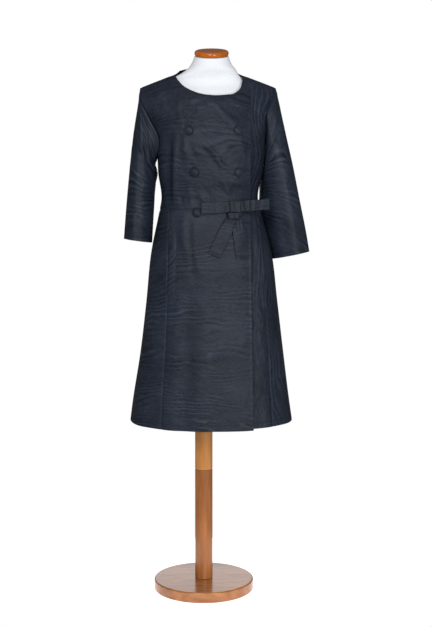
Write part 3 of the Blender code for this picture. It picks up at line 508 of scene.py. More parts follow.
# necklines as world x and height, armholes as angle and height
RIGHT_NECKLINE = ((-0.0836, 1.443), (-0.0665, 1.4225), (-0.029, 1.4025), (0.018, 1.395),
                  (0.048, 1.3965), (0.08, 1.401), (0.1175, 1.407))
LEFT_NECKLINE = ((0.096, 1.434), (0.0905, 1.418), (0.074, 1.4035), (0.03, 1.3955),
                 (-0.018, 1.3925), (-0.048, 1.3915), (-0.084, 1.39))
RIGHT_ARMHOLE = ((90, 1.225), (79, 1.236), (71, 1.258), (68, 1.283), (70, 1.318),
                 (69.6, 1.366), (68.8, 1.4))
LEFT_ARMHOLE = ((90, 1.218), (86, 1.235), (81, 1.262), (77, 1.29), (70.5, 1.318),
                (66.5, 1.345), (65.5, 1.392))
SIDE_ROWS, ARM_ROWS, SHOULDER_COLUMNS, NECK_COLUMNS = 50, 61, 34, 86
RELAX_PASSES = 500
SHOULDER_MARGIN, SHOULDER_GAP, SIDE_GAP = 0.006, 0.0022, 0.0002
TOP_RISE = math.radians(90) - SHOULDER_GAP
WAIST_RISE = (WAIST_Z - BUST_Z) / BELOW_BUST


def spaced(points, count):
    """A polyline of surface parameters resampled at even steps, its ends kept."""
    points = np.asarray(points)
    along = lengths_along(points[None], 1)[0]
    return smooth(along, points, np.linspace(0, along[-1], count))


def relaxed(points):
    """The grid's inner points evened out (Winslow's method), so that no cell folds."""
    for _ in range(RELAX_PASSES):
        along = (points[1:-1, 2:] - points[1:-1, :-2]) / 2
        up = (points[2:, 1:-1] - points[:-2, 1:-1]) / 2
        along_weight = (up**2).sum(axis=-1, keepdims=True)
        up_weight = (along**2).sum(axis=-1, keepdims=True)
        skew = (along * up).sum(axis=-1, keepdims=True)
        twist = points[2:, 2:] - points[2:, :-2] - points[:-2, 2:] + points[:-2, :-2]
        moved = (along_weight * (points[1:-1, 2:] + points[1:-1, :-2])
                 + up_weight * (points[2:, 1:-1] + points[:-2, 1:-1]) - skew * twist / 2)
        points[1:-1, 1:-1] = moved / (2 * (along_weight + up_weight))
    return points


def patch(left, right, bottom, top):
    """Surface parameters inside four edges: the edges blended, less their corners, and evened out."""
    t = np.linspace(0, 1, len(left))[:, None, None]
    s = np.linspace(0, 1, len(bottom))[None, :, None]
    sides = (1 - s) * left[:, None] + s * right[:, None]
    ends = (1 - t) * bottom[None] + t * top[None]
    corners = ((1 - s) * (1 - t) * left[0] + s * (1 - t) * right[0]
               + (1 - s) * t * left[-1] + s * t * right[-1])
    return relaxed(sides + ends - corners)


def side_and_armhole(sign):
    """Side seam from the waist to the underarm, then the armhole up to the shoulder tip."""
    table = RIGHT_ARMHOLE if sign < 0 else LEFT_ARMHOLE
    angles, heights = np.array(table).T
    angles = np.radians(np.append(angles, math.degrees(TIP_ANGLE)))
    angles[0] -= SIDE_GAP
    above = np.clip((heights - BUST_Z) / (SHOULDER_Z + SHOULDER_MARGIN - BUST_Z), 0, 1)
    rises = np.where(heights < BUST_Z, (heights - BUST_Z) / BELOW_BUST, np.arcsin(above))
    armhole = spaced(np.stack([angles, np.append(rises, TOP_RISE)], axis=1), ARM_ROWS)
    seam = np.linspace([angles[0], WAIST_RISE], armhole[0], SIDE_ROWS)[:-1]
    return np.vstack([seam, armhole]) * [sign, 1]


def shoulder(sign, count):
    """Shoulder seam from its tip to the neck point."""
    angles = np.linspace(TIP_ANGLE, TIP_ANGLE * NECK_X / SHOULDER_X, count)
    return np.stack([sign * angles, np.full(count, TOP_RISE)], axis=1)


def neckline(sign, table, count):
    """Neckline from the neck point to the lapped corner."""
    x, z = np.array(table).T
    rise = rise_at(x, z, FRONT)
    points = np.stack([angle_at(x, rise, FRONT), rise], axis=1)
    return spaced(np.vstack([shoulder(sign, 2)[-1:], points]), count)


def sunk(theta, lap_angle):
    """How far a lower layer sinks: fully under the lap, nothing a short way beyond its edge."""
    past_edge = np.degrees(theta - lap_angle) - LAP_CLEAR_ANGLE
    return LAP_STEP * ease(1 - past_edge / LAP_RISE_ANGLE)


def under_bodice(theta, rise):
    """Sinking of the left bodice front, which comes back to the outline above the lapped corner."""
    lap_angle = angle_at(LAP_EDGE_WAIST_X - section("centre_x", BUST_Z), rise, FRONT)
    start, end = LAP_TOP_RISE
    return sunk(theta, lap_angle) * ease((end - rise) / (end - start))


def seam_dips(points, seams):
    """Rolls the cloth in along its seams: a bell of the distance from each named edge."""
    across, up = lengths_along(points, 1), lengths_along(points, 0)
    distance = {"left": across, "right": across[:, -1:] - across, "bottom": up, "top": up[-1:] - up}
    return sum(SEAM_DIP * np.exp(-(distance[seam] / SEAM_REACH) ** 2) for seam in seams)


def raised(theta, rise, lift, side=FRONT):
    """Points lifted off the outer face along its normals, and the normals of their grid."""
    normals = body_normals(theta, rise, side)
    points = body(theta, rise, side) + normals * lift[..., None]
    return points, grid_normals(points, normals)


def on_form(flat, area):
    return {"flat": flat, "held": "hung", "rests_on": "dress_form", "area": area}


def panel(name, node, domain, side, seams, silk, flat, area, sink=None):
    """One panel of the coat: its stretch of the outer face with its creases and rolled seams."""
    theta, rise = domain[..., 0], domain[..., 1]
    points = body(theta, rise, side)
    lift = crease_heights(points, FRONT_CREASES if side == FRONT else BACK_CREASES)
    lift = lift - seam_dips(points, seams)
    if sink is not None:
        lift = lift - sink(theta, rise)
    cloth_piece(name, node, *raised(theta, rise, lift, side), silk, on_form(flat, area))


def bodice_front(sign, table, edge_x):
    """Surface parameters of a bodice front between its side, shoulder, neckline and free edge."""
    outer_edge = side_and_armhole(sign)
    top = np.vstack([shoulder(sign, SHOULDER_COLUMNS), neckline(sign, table, NECK_COLUMNS)[1:]])
    corner = body(top[-1, 0], top[-1, 1], FRONT)
    heights = np.linspace(WAIST_Z, corner[2], len(outer_edge))
    free_edge = np.stack(place(np.linspace(edge_x, corner[0], len(outer_edge)), heights), axis=1)
    free_edge[-1] = top[-1]
    return patch(outer_edge, free_edge, np.linspace(outer_edge[0], free_edge[0], len(top)), top)


def bodice_back():
    """Surface parameters of the bodice back, side to side, under its shallow neckline."""
    left, right = side_and_armhole(-1), side_and_armhole(1)
    half = np.linspace(-NECK_X, NECK_X, NECK_COLUMNS)[1:-1]
    neck_z = BACK_NECK_Z - (BACK_NECK_Z - arch_top(NECK_X, BACK)) * (np.abs(half) / NECK_X) ** 3
    rise = rise_at(half, neck_z, BACK)
    neck = np.stack([angle_at(half, rise, BACK), rise], axis=1)
    top = np.vstack([shoulder(-1, SHOULDER_COLUMNS), neck, shoulder(1, SHOULDER_COLUMNS)[::-1]])
    return patch(left, right, np.linspace(left[0], right[0], len(top)), top)


panel("right_bodice_front", "bodice_front_right", bodice_front(-1, RIGHT_NECKLINE, LAP_EDGE_WAIST_X),
      FRONT, ("left", "bottom", "top"),
      watered_silk("bodice_silk", turn=3, shift=0.9, contrast=0.75, crumpled=1.25), (0.36, 0.40), 0.105)
panel("left_bodice_front", "bodice_front_left", bodice_front(1, LEFT_NECKLINE, UNDERLAP_X), FRONT,
      ("left", "bottom", "top"), watered_silk("underlap_silk", turn=88, shift=2.3, contrast=1.1),
      (0.31, 0.4), 0.095, under_bodice)
panel("bodice_back_piece", "bodice_back", bodice_back(), BACK, ("left", "right", "bottom"),
      watered_silk("back_silk", turn=-2, shift=4.1), (0.46, 0.42), 0.145)

# Skirt: two lapped fronts, two side-fronts and a back, all flared to the hem, which is turned up and
# stitched by hand 16 mm above its edge.
SEAM_FROM_MIDDLE = {-1: (0.113, 0.137), 1: (0.130, 0.172)}      # at the waist and at the hem
SKIRT_ROWS = 170
HEM_STITCH = (1, 0.016, 0.0011)
HEM_RISE = {-1: 0.011, 1: 0.010}        # how much higher the hem hangs at each side
HEM_RISE_ANGLES, UNDER_HEM_SHARE = (30.0, 65.0), 0.45


def seam_x(z, sign):
    """Place of a side-front seam, out from the coat's middle: 1 is the wearer's left."""
    waist, hem = SEAM_FROM_MIDDLE[sign]
    return sign * (waist + (hem - waist) * (WAIST_Z - z) / (WAIST_Z - HEM_Z))


def lap_edge_x(z):
    """World x of the upper front's free edge."""
    down = (WAIST_Z - z) / (WAIST_Z - HEM_Z)
    return LAP_EDGE_WAIST_X + (LAP_EDGE_HEM_X - LAP_EDGE_WAIST_X) * down


def under_skirt(theta, rise):
    """Sinking of the skirt's left front and side-front under the lap."""
    z = BUST_Z + rise * BELOW_BUST
    return sunk(theta, angle_at(lap_edge_x(z) - section("centre_x", z), rise, FRONT))


def between(start, end, columns, lifted):
    """Surface parameters between two edges given as angles, row by row from the hem to the waist."""
    s = np.linspace(0, 1, columns)[None, :]
    theta = start[:, None] * (1 - s) + end[:, None] * s
    start_angle, spread = HEM_RISE_ANGLES
    share = lifted + (1 - lifted) * ease((np.abs(np.degrees(theta)) - start_angle) / spread)
    hem_lift = np.where(theta < 0, HEM_RISE[-1], HEM_RISE[1]) * share
    z = skirt_z[:, None] + hem_lift * np.linspace(1, 0, SKIRT_ROWS)[:, None] ** 3
    return np.stack([theta, (z - BUST_Z) / BELOW_BUST], axis=-1)


skirt_z = np.linspace(HEM_Z, WAIST_Z, SKIRT_ROWS)
skirt_rise = (skirt_z - BUST_Z) / BELOW_BUST
skirt_middle = section("centre_x", skirt_z)
side_line = np.full(SKIRT_ROWS, SIDE_ANGLE - SIDE_GAP)
right_seam = angle_at(seam_x(skirt_z, -1), skirt_rise, FRONT)
left_seam = angle_at(seam_x(skirt_z, 1), skirt_rise, FRONT)
lap_line = angle_at(lap_edge_x(skirt_z) - skirt_middle, skirt_rise, FRONT)
under_line = angle_at(UNDERLAP_X - skirt_middle, skirt_rise, FRONT)
# name, node, first and last edge, columns, seams, the silk's name, turn and shift, flat size and area
SKIRT = (
    ("right_skirt_front", "skirt_front_right", right_seam, lap_line, 110, ("left", "top"),
     ("skirt_silk", 2, 6.2), (0.3, 0.615), 0.15),
    ("right_skirt_side", "skirt_side_right", -side_line, right_seam, 56, ("left", "right", "top"),
     ("right_side_silk", -14, 8.4), (0.19, 0.615), 0.088),
    ("left_skirt_front", "skirt_front_left", under_line, left_seam, 90, ("right", "top"),
     ("left_front_silk", 90, 1.7), (0.3, 0.615), 0.155),
    ("left_skirt_side", "skirt_side_left", left_seam, side_line, 56, ("left", "right", "top"),
     ("left_side_silk", 84, 3.1), (0.15, 0.615), 0.062),
    ("skirt_back_piece", "skirt_back", -side_line, side_line, 190, ("left", "right", "top"),
     ("skirt_back_silk", -1, 5.5), (0.66, 0.62), 0.33),
)
for name, node, start, end, columns, seams, cut, flat, area in SKIRT:
    under = "left" in node
    domain = between(start, end, columns, UNDER_HEM_SHARE if under else 0)
    panel(name, node, domain, BACK if node == "skirt_back" else FRONT, seams,
          watered_silk(*cut, line=HEM_STITCH), flat, area, under_skirt if under else None)

# Sleeves: three-quarter length, set into the armholes and empty, so they hang nearly straight with
# a drag fold below the shoulder and small puckers inside the elbow. The cuffs are turned in and
# stitched 12 mm above their edges. Each row has the oval's outer and inner end and its half depth.
RIGHT_SLEEVE = (
    (-0.186, 0, 1.376, -0.137, 0.012, 1.208, 0.062),
    (-0.195, 0, 1.321, -0.1335, 0.022, 1.193, 0.0645),
    (-0.2024, 0, 1.267, -0.132, 0.026, 1.18, 0.064),
    (-0.208, 0, 1.215, -0.1365, 0.018, 1.155, 0.063),
    (-0.218, 0.002, 1.11, -0.1412, 0.01, 1.085, 0.062),
    (-0.227, 0.004, 0.9975, -0.147, 0.008, 0.986, 0.062),
)
LEFT_SLEEVE = (
    (0.2125, 0, 1.386, 0.17, 0.02, 1.202, 0.061),
    (0.2235, 0, 1.335, 0.165, 0.036, 1.185, 0.063),
    (0.235, 0.002, 1.284, 0.1605, 0.044, 1.165, 0.063),
    (0.254, 0.006, 1.201, 0.1592, 0.043, 1.125, 0.062),
    (0.2725, 0.012, 1.11, 0.159, 0.046, 1.085, 0.06),
    (0.2898, 0.018, 1.0274, 0.174, 0.05, 1.02, 0.058),
    (0.3018, 0.022, 0.9604, 0.1945, 0.052, 0.938, 0.056),
)
SLEEVE_ROWS = 150
CUFF_STITCH = (1, 0.012, 0.0011)
SLEEVE_ROW_SPREAD, SLEEVE_ROUND = 1.1, 0.33
# roll of the sleeve's head into the armhole: distance down from it, spread and height
SLEEVE_HEAD = ((0.0, 0.004, -0.0012), (0.016, 0.012, 0.0018))
HEAD_START, HEAD_EASE = 0.004, 0.03
# creases of a sleeve: degrees round it (0 outer edge, 90 front, 180 inner edge), mm down from the
# shoulder, spread in degrees and in mm, height in mm, lean in degrees per metre down, and slope in
# metres down per 100 degrees round
RIGHT_SLEEVE_CREASES = (
    (66, 70, 12, 60, 3.2, 420, 0),
    (92, 80, 11, 50, -3.2, 420, 0),
    (128, 118, 34, 7, -2.2, 0, 0.06),
    (120, 134, 34, 6.5, 1.8, 0, 0.06),
    (85, 104, 60, 5, 1, 0, 0.004),
    (75, 117, 60, 4.5, -1, 0, -0.004),
    (90, 131, 60, 5, 1.1, 0, 0.003),
    (80, 146, 55, 5, -0.8, 0, 0),
    (75, 176, 50, 7, 0.8, 0, 0.008),
    (70, 330, 16, 80, 1.6, 60, 0),
    (100, 345, 16, 80, -1.4, 60, 0),
    (110, 290, 30, 8, 1.2, 0, 0.05),
    (-80, 90, 20, 50, 2.4, -300, 0),
    (-110, 180, 50, 7, 1.8, 0, 0.006),
    (-100, 205, 50, 6, -1.6, 0, -0.004),
    (-80, 310, 20, 70, -1.6, 0, 0),
)
LEFT_SLEEVE_CREASES = (
    (100, 60, 16, 50, 2.6, -380, 0),
    (70, 80, 14, 60, -2, -300, 0),
    (130, 130, 14, 70, 2.2, -200, 0),
    (95, 180, 55, 8, 0.6, 0, -0.05),
    (90, 200, 55, 7, -0.6, 0, -0.05),
    (100, 222, 50, 8, 0.6, 0, -0.045),
    (70, 300, 15, 100, 2, 60, 0),
    (95, 320, 15, 100, -1.8, 40, 0),
    (120, 370, 14, 80, 1.6, 30, 0),
    (45, 350, 14, 90, -1.4, 40, 0),
    (-80, 100, 20, 60, 2.2, 300, 0),
    (-100, 200, 50, 7, 1.7, 0, 0.006),
    (-95, 222, 50, 6.5, -1.5, 0, 0.002),
    (-80, 340, 18, 90, 1.6, 0, 0),
)


def sleeve(name, node, sign, table, creases, silk, flat, area):
    """A sleeve lofted from the armhole's ring through its slanting ovals, with its creases."""
    edge = side_and_armhole(sign)[-ARM_ROWS:]
    front, back = (body(edge[:, 0], edge[:, 1], side) for side in (FRONT, BACK))
    rings = [np.vstack([front[::-1], back[1:-1]])]
    phi = np.linspace(0, 2 * math.pi, len(rings[0]), endpoint=False)
    for *ends, half_depth in table:
        outer, inner = np.array(ends).reshape(2, 3)
        oval = (outer + inner) / 2 + np.cos(phi)[:, None] * (outer - inner) / 2
        oval[:, 1] -= half_depth * np.sin(phi)
        rings.append(oval)
    rings = np.array(rings)
    steps = np.linalg.norm(np.diff(rings, axis=0), axis=2).mean(axis=1)
    along = np.concatenate([[0], np.cumsum(steps)])
    down = along[-1] * np.linspace(0, 1, SLEEVE_ROWS)[:, None] ** SLEEVE_ROW_SPREAD
    points = smooth(along, rings, down[:, 0])
    normals = grid_normals(points, points - points.mean(axis=1, keepdims=True), tube=True)
    lift = np.zeros(points.shape[:2])
    for start, spread, height in SLEEVE_HEAD:
        lift += height * np.exp(-((down - start) / spread) ** 2)
    for turn, start, turn_spread, spread, height, lean, slope in creases:
        start, spread, height = start * MM, spread * MM, height * MM
        away = (np.degrees(phi) - turn - lean * (down - start) + 180) % 360 - 180
        drop = down - start - slope * away / 100
        lift += height * np.exp(-(away / turn_spread) ** 2 - (drop / spread) ** 2)
    lift *= ease((down - HEAD_START) / HEAD_EASE)
    points = points + normals * lift[..., None]
    uv = np.broadcast_arrays(phi / math.tau * SLEEVE_ROUND, along[-1] - down)
    cloth_piece(name, node, points, grid_normals(points, normals, tube=True), silk,
                on_form(flat, area), tube=True, uv=np.stack(uv, axis=-1))


sleeve("right_sleeve", "sleeve_right", -1, RIGHT_SLEEVE, RIGHT_SLEEVE_CREASES,
       watered_silk("right_sleeve_silk", turn=-4, shift=9.2, line=CUFF_STITCH, contrast=1.3,
                    crumpled=1.4), (0.39, 0.45), 0.145)
sleeve("left_sleeve", "sleeve_left", 1, LEFT_SLEEVE, LEFT_SLEEVE_CREASES,
       watered_silk("left_sleeve_silk", turn=-36, shift=7.3, line=CUFF_STITCH, contrast=1.6,
                    crumpled=1.1), (0.40, 0.49), 0.165)

# Pocket welt: a narrow strip of the silk cut on the cross, sewn along the pocket mouth in the right
# side-front seam.
POCKET_TOP_Z, POCKET_BOTTOM_Z = 1.0250, 0.8430
WELT_WIDTH, WELT_CLOTH = 0.0240, 0.0011
WELT_LAP, WELT_LIFT = 0.0030, 0.0013
WELT_ROLL, WELT_ROLL_REACH = 0.0011, 0.004
# the pocket's mouth: a darkened line along the welt's seam edge, a painted shadow
POCKET_MOUTH = (0, -0.0104, 0.0018)

z = np.linspace(POCKET_BOTTOM_Z, POCKET_TOP_Z, 60)[:, None]
across = np.linspace(0, 1, 14)[None, :]
rise = np.broadcast_to((z - BUST_Z) / BELOW_BUST, (z.size, across.size))
theta = angle_at(seam_x(z, -1) - WELT_LAP + WELT_WIDTH * across, rise, FRONT)
lift = WELT_LIFT + crease_heights(body(theta, rise, FRONT), FRONT_CREASES)
lift = lift - WELT_ROLL * np.exp(-((1 - across) * WELT_WIDTH / WELT_ROLL_REACH) ** 2)
cloth_piece("pocket_welt", "pocket_welt_right", *raised(theta, rise, lift),
            watered_silk("welt_silk", turn=-40, shift=2.9, line=POCKET_MOUTH),
            {"flat": (0.040, 0.200), "held": "laid", "rests_on": "right_skirt_front", "area": 0.0046},
            WELT_CLOTH)

# Buttons: large, covered with the coat's silk, each with a pressed rim and a domed middle. Each row
# has its name, node, world x and height.
BUTTONS = (
    ("upper_right_button", "button_right_top", -0.0395, 1.297),
    ("upper_left_button", "button_left_top", 0.0967, 1.297),
    ("middle_right_button", "button_right_middle", -0.0244, 1.1815),
    ("middle_left_button", "button_left_middle", 0.098, 1.1815),
    ("waist_right_button", "button_right_waist", -0.0175, 1.071),
    ("waist_left_button", "button_left_waist", 0.098, 1.071),
)
BUTTON_RADIUS = 0.0137
BUTTON_PROFILE = ((0.78, 0.0), (0.92, 0.0003), (0.985, 0.0011), (1.0, 0.0022), (0.975, 0.0031),
                  (0.93, 0.0036), (0.87, 0.0031), (0.82, 0.0023), (0.76, 0.0027), (0.6, 0.0042),
                  (0.42, 0.005), (0.22, 0.0055), (0.06, 0.0056))
BUTTON_SEAT = 0.0008


def ringed_solid(name, node, points, material, sharp):
    """A solid from rings of points, closed by flat discs at its two ends."""
    index = np.arange(points.size // 3).reshape(points.shape[:2])
    faces = quads(closed(index)).tolist() + [index[0].tolist()[::-1], index[-1].tolist()]
    mesh = bpy.data.meshes.new(name)
    mesh.from_pydata(points.reshape(-1, 3).tolist(), [], faces)
    dressed(name, node, mesh, material, sharp)


def turned(name, node, slot, profile, material, origin=(0, 0, 0), axes=np.eye(3), segments=96):
    """A turned solid from radius and height pairs."""
    profile = np.array(profile)
    angles = np.linspace(0, 2 * math.pi, segments, endpoint=False)
    ring = np.stack([np.cos(angles), np.sin(angles), np.zeros(segments)], axis=1)
    points = profile[:, :1, None] * ring + profile[:, 1:, None] * np.array([0, 0, 1.0])
    ringed_solid(name, node, origin + points @ axes, material, 40)


button_silk = watered_silk("button_cover", turn=12, shift=0.4, contrast=0.4, from_uv=False)
for name, node, x, z in BUTTONS:
    theta, rise = place(np.array(x), np.array(z))
    normal = body_normals(theta, rise, FRONT)
    seat = body(theta, rise, FRONT) + normal * BUTTON_SEAT
    sideways = unit(np.cross([0, 0, 1.0], normal))
    axes = np.array([sideways, np.cross(normal, sideways), normal])
    profile = [(BUTTON_RADIUS * share, height) for share, height in BUTTON_PROFILE]
    turned(name, node, "button_silk", profile, button_silk, seat, axes, segments=64)

# Flat bow at the waist: a doubled ribbon on each side of a wrapped core, a knot of ribbon below it
# and two tails. It covers the left waist button.
RIBBON = 0.0012
BAND_HEIGHT = 0.0290
# x, y and z along the middle of the band
BAND_LINE = (
    (-0.007, -0.1195, 1.083),
    (0.04, -0.1185, 1.0852),
    (0.087, -0.115, 1.088),
    (0.135, -0.106, 1.0912),
    (0.183, -0.09, 1.0945),
)
# pads: name, node, x range, depths from the band's middle, height range, rounding and puff
BLOCKS = (
    ("core_of_bow", "bow_core", (0.072, 0.102), (-0.0044, 0.0062), (1.0722, 1.103), 0.0016, 0.0006),
    ("knot_of_bow", "bow_knot", (0.066, 0.098), (-0.005, 0.0075), (1.0535, 1.0719), 0.0028, 0.0008),
)
CORE_X = BLOCKS[0][2]
LOOP_HALF_GAP, LOOP_BULGE, LOOP_ROWS, LOOP_SEAM = 0.0034, 1.3, 28, 0.0006
LOOP_PINCH, LOOP_PINCH_REACH = 0.07, 0.012
CREASE_MIDDLE, CREASE_FALL = 1.05, 0.7
# creases across the loops: where each is, how it leans, its width and its height
BAND_CREASES = (
    (0.012, 0.1, 0.006, -0.0009),
    (0.034, -0.15, 0.005, 0.0009),
    (0.055, 0.2, 0.004, -0.0012),
    (0.064, 0.3, 0.003, 0.0012),
    (0.108, -0.25, 0.0035, 0.0013),
    (0.116, -0.1, 0.003, -0.0014),
    (0.125, 0.1, 0.003, 0.0013),
    (0.133, -0.05, 0.003, -0.0013),
    (0.141, 0.1, 0.003, 0.001),
    (0.156, 0.15, 0.005, -0.001),
)
# The bow's ribbon and knot are set darker than the coat's silk: painted shade.
ribbon_silk = watered_silk("bow_ribbon", turn=0, shift=5.2, contrast=0.5, crumpled=0.6, light=0.13)
knot_silk = watered_silk("bow_knot_ribbon", turn=20, shift=1.2, contrast=0.6, from_uv=False, light=0.10)


def band_point(x):
    """Depth and height of the bow's band at x."""
    known, *rest = np.array(BAND_LINE).T
    return [smooth(known, values, x) for values in rest]


def ribbon_piece(name, node, points, normals, flat, held, rests_on):
    """One stretch of the bow's ribbon."""
    cloth_piece(name, node, points, normals, ribbon_silk,
                {"flat": flat, "held": held, "rests_on": rests_on}, RIBBON, "ribbon_silk")


def bow_loop(name, node, root_x, end_x):
    """A flat loop of ribbon: out along its back, round its end and back along its front."""
    toward = math.copysign(1, end_x - root_x)
    reach = LOOP_HALF_GAP * LOOP_BULGE
    straight = np.linspace(root_x, end_x - toward * reach, 90)
    depth, height = band_point(straight)
    turn = np.linspace(math.pi / 2, -math.pi / 2, 16)[1:-1]
    x = np.concatenate([straight, straight[-1] + toward * reach * np.cos(turn), straight[::-1]])
    y = np.concatenate([depth + LOOP_HALF_GAP, depth[-1] + LOOP_HALF_GAP * np.sin(turn),
                        depth[::-1] - LOOP_HALF_GAP])
    z = np.concatenate([height, np.full(len(turn), height[-1]), height[::-1]])
    front = np.concatenate([straight * 0, ease((1 - np.sin(turn)) / 2), straight * 0 + 1])
    level = np.linspace(-0.5, 0.5, LOOP_ROWS)[:, None]
    lift = np.zeros((LOOP_ROWS, len(x)))
    for middle, lean, width, rise in BAND_CREASES:
        away = x - middle - lean * level * BAND_HEIGHT
        lift += rise * np.exp(-(away / width) ** 2)
    lift *= front * (CREASE_MIDDLE - CREASE_FALL * np.abs(level))
    pinch = 1 - LOOP_PINCH * np.exp(-(np.abs(x - root_x) / LOOP_PINCH_REACH) ** 2)
    x = np.broadcast_to(x, lift.shape)
    points = np.stack([x, y - lift, z + level * BAND_HEIGHT * pinch], axis=-1)
    outward = (points - points.mean(axis=(0, 1))) * [0, 1, 0]
    ribbon_piece(name, node, points, grid_normals(points, outward), (0.165, 0.029), "folded",
                 "right_bodice_front")


BLOCK_GRID = 41
PLEAT_SHARE, PLEATS, PLEAT_LEAN = 0.3, 7.0, 1.5


def soft_block(name, node, x_range, depths, z_range, rounding, puff):
    """A small pad of folded ribbon: a rounded block with soft pleats down its front."""
    u = np.linspace(-1, 1, BLOCK_GRID)
    grid = np.stack(np.meshgrid(u, u, indexing="ij"), axis=-1)
    y_range = band_point(sum(CORE_X) / 2)[0] + np.array(depths)
    low, high = (np.array(values) for values in zip(x_range, y_range, z_range))
    half = (high - low) / 2
    sides = []
    for axis in range(3):
        for sign in (-1, 1):
            side = np.insert(grid, axis, sign, axis=-1)
            sides.append(side if (axis == 1) == (sign > 0) else side[::-1])
    cube = np.array(sides).reshape(-1, 3) * half
    core = np.clip(cube, -(half - rounding), half - rounding)
    points = core + unit(cube - core + 1e-12) * rounding
    across, _, up = (points / half).T
    pleats = PLEAT_SHARE * np.sin(across * PLEATS + up * PLEAT_LEAN)
    points[:, 1] -= np.clip(-points[:, 1] / half[1], 0, 1) * puff * (pleats + 1 - across**2)
    mesh = bpy.data.meshes.new(name)
    index = np.arange(len(points)).reshape(6, BLOCK_GRID, BLOCK_GRID)
    mesh.from_pydata((points + (low + high) / 2).tolist(), [], quads(index).tolist())
    work = bmesh.new()
    work.from_mesh(mesh)
    bmesh.ops.remove_doubles(work, verts=work.verts, dist=1e-6)
    bmesh.ops.recalc_face_normals(work, faces=work.faces)
    work.to_mesh(mesh)
    work.free()
    dressed(name, node, mesh, knot_silk, sharp=180)


# name, node, top x and z, end x and z, and how far the top and the end stand off the skirt
TAILS = (
    ("right_bow_tail", "bow_tail_right", 0.076, 1.052, 0.0293, 0.953, 0.0125, 0.007),
    ("left_bow_tail", "bow_tail_left", 0.0915, 1.052, 0.1063, 0.943, 0.0095, 0.0055),
)
TAIL_WIDTH = 0.0330
TAIL_TOP_SHARE, TAIL_WIDENED, TAIL_SETTLED = 0.80, 0.35, 0.8
# ripples of the tails: waves across and along, phase and height, of which the first fades out
GATHERS, RIPPLES = (21, 0, 1.2, 0.0010), (5, 4, 0, 0.0004)


def bow_tail(name, node, top_x, top_z, end_x, end_z, stand_top, stand_end):
    """A ribbon tail hanging over the skirt: pinched at the knot, its end cut square."""
    t = np.linspace(0, 1, 90)[:, None]
    side = np.linspace(-0.5, 0.5, 34)[None, :]
    run = unit(np.array([end_x - top_x, end_z - top_z]))
    opened = ease(t / TAIL_WIDENED)
    width = TAIL_WIDTH * (TAIL_TOP_SHARE + (1 - TAIL_TOP_SHARE) * opened)
    x = top_x + (end_x - top_x) * t - run[1] * side * width
    z = np.minimum(top_z + (end_z - top_z) * t + run[0] * side * width, top_z)
    gathers, ripples = (height * np.sin(side * over + t * down + phase)
                        for over, down, phase, height in (GATHERS, RIPPLES))
    lift = stand_top + (stand_end - stand_top) * ease(t / TAIL_SETTLED)
    lift = lift + gathers * (1 - opened) + ripples
    ribbon_piece(name, node, *raised(*place(x, z), lift), (TAIL_WIDTH, 0.112), "hung", "knot_of_bow")


bow_loop("right_bow_loop", "bow_loop_right", CORE_X[0] - LOOP_SEAM, BAND_LINE[0][0])
bow_loop("left_bow_loop", "bow_loop_left", CORE_X[1] + LOOP_SEAM, BAND_LINE[-1][0])
for block in BLOCKS:
    soft_block(*block)
for tail in TAILS:
    bow_tail(*tail)

# Dress form: a padded torso without limbs, under smooth white jersey. It fills the coat and carries
# it at the shoulders, and its neck ends in a slanting face for the wooden cap. Each row has its
# height, centre x and y, half width, and depths to the front and to the back.
FORM = (
    (0.8, 0.0215, 0, 0.162, 0.108, 0.118),
    (0.86, 0.0215, 0, 0.164, 0.109, 0.119),
    (0.94, 0.0215, 0, 0.156, 0.106, 0.112),
    (1.02, 0.02, 0, 0.136, 0.098, 0.096),
    (1.09, 0.0175, 0, 0.123, 0.092, 0.082),
    (1.16, 0.0185, 0, 0.131, 0.1, 0.086),
    (1.24, 0.0205, 0, 0.141, 0.11, 0.093),
    (1.31, 0.019, 0, 0.144, 0.101, 0.09),
    (1.37, 0.019, 0, 0.15, 0.083, 0.08),
    (1.41, 0.021, 0, 0.15, 0.066, 0.066),
    (1.426, 0.0211, -0.001, 0.1364, 0.0528, 0.055),
    (1.436, 0.0188, -0.003, 0.1186, 0.0471, 0.052),
    (1.445, 0.0144, -0.005, 0.1028, 0.0458, 0.0485),
    (1.453, 0.0115, -0.007, 0.0935, 0.0475, 0.0455),
    (1.46, 0.015, -0.009, 0.0835, 0.05, 0.045),
    (1.468, 0.0195, -0.011, 0.075, 0.0525, 0.046),
    (1.476, 0.0218, -0.012, 0.068, 0.0535, 0.0475),
    (1.486, 0.0218, -0.014, 0.0595, 0.053, 0.049),
    (1.5112, 0.0222, -0.019, 0.0475, 0.0475, 0.0475),
)
NECK_BASE_Z = 1.4600
CAP_TILT = math.radians(16)
FORM_SEGMENTS, FORM_RINGS, FORM_RING_SPREAD, FORM_SQUARENESS = 128, 150, 1.4, 2.1


def jersey():
    """White jersey: rough and soft, with a very fine knit."""
    n = Nodes("white_jersey")
    here = n.add("ShaderNodeTexCoord").outputs["Object"]
    knit = n.noise(here, (1, 1, 1.6), detail=2.0, scale=900.0)
    return n.finish({"Base Color": (0.86, 0.885, 0.925, 1), "Roughness": 0.85,
                     "Normal": n.bump(knit, 0.12, 0.0003)})


known, *sizes = np.array(FORM).T
z = known[0] + (known[-1] - known[0]) * (1 - (1 - np.linspace(0, 1, FORM_RINGS)) ** FORM_RING_SPREAD)
centre_x, centre_y, half_width, *depths = (smooth(known, size, z)[:, None] for size in sizes)
angles = np.linspace(0, 2 * math.pi, FORM_SEGMENTS, endpoint=False)[None, :]
radius = rounded_section(angles, half_width, np.where(np.cos(angles) > 0, *depths), FORM_SQUARENESS)
tilt = CAP_TILT * ease((z - NECK_BASE_Z) / (known[-1] - NECK_BASE_Z))[:, None]
points = np.stack([centre_x + radius * np.sin(angles),
                   centre_y - radius * np.cos(angles) * np.cos(tilt),
                   z[:, None] - radius * np.cos(angles) * np.sin(tilt)], axis=-1)
ringed_solid("dress_form", "form_torso", points, jersey(), 50)

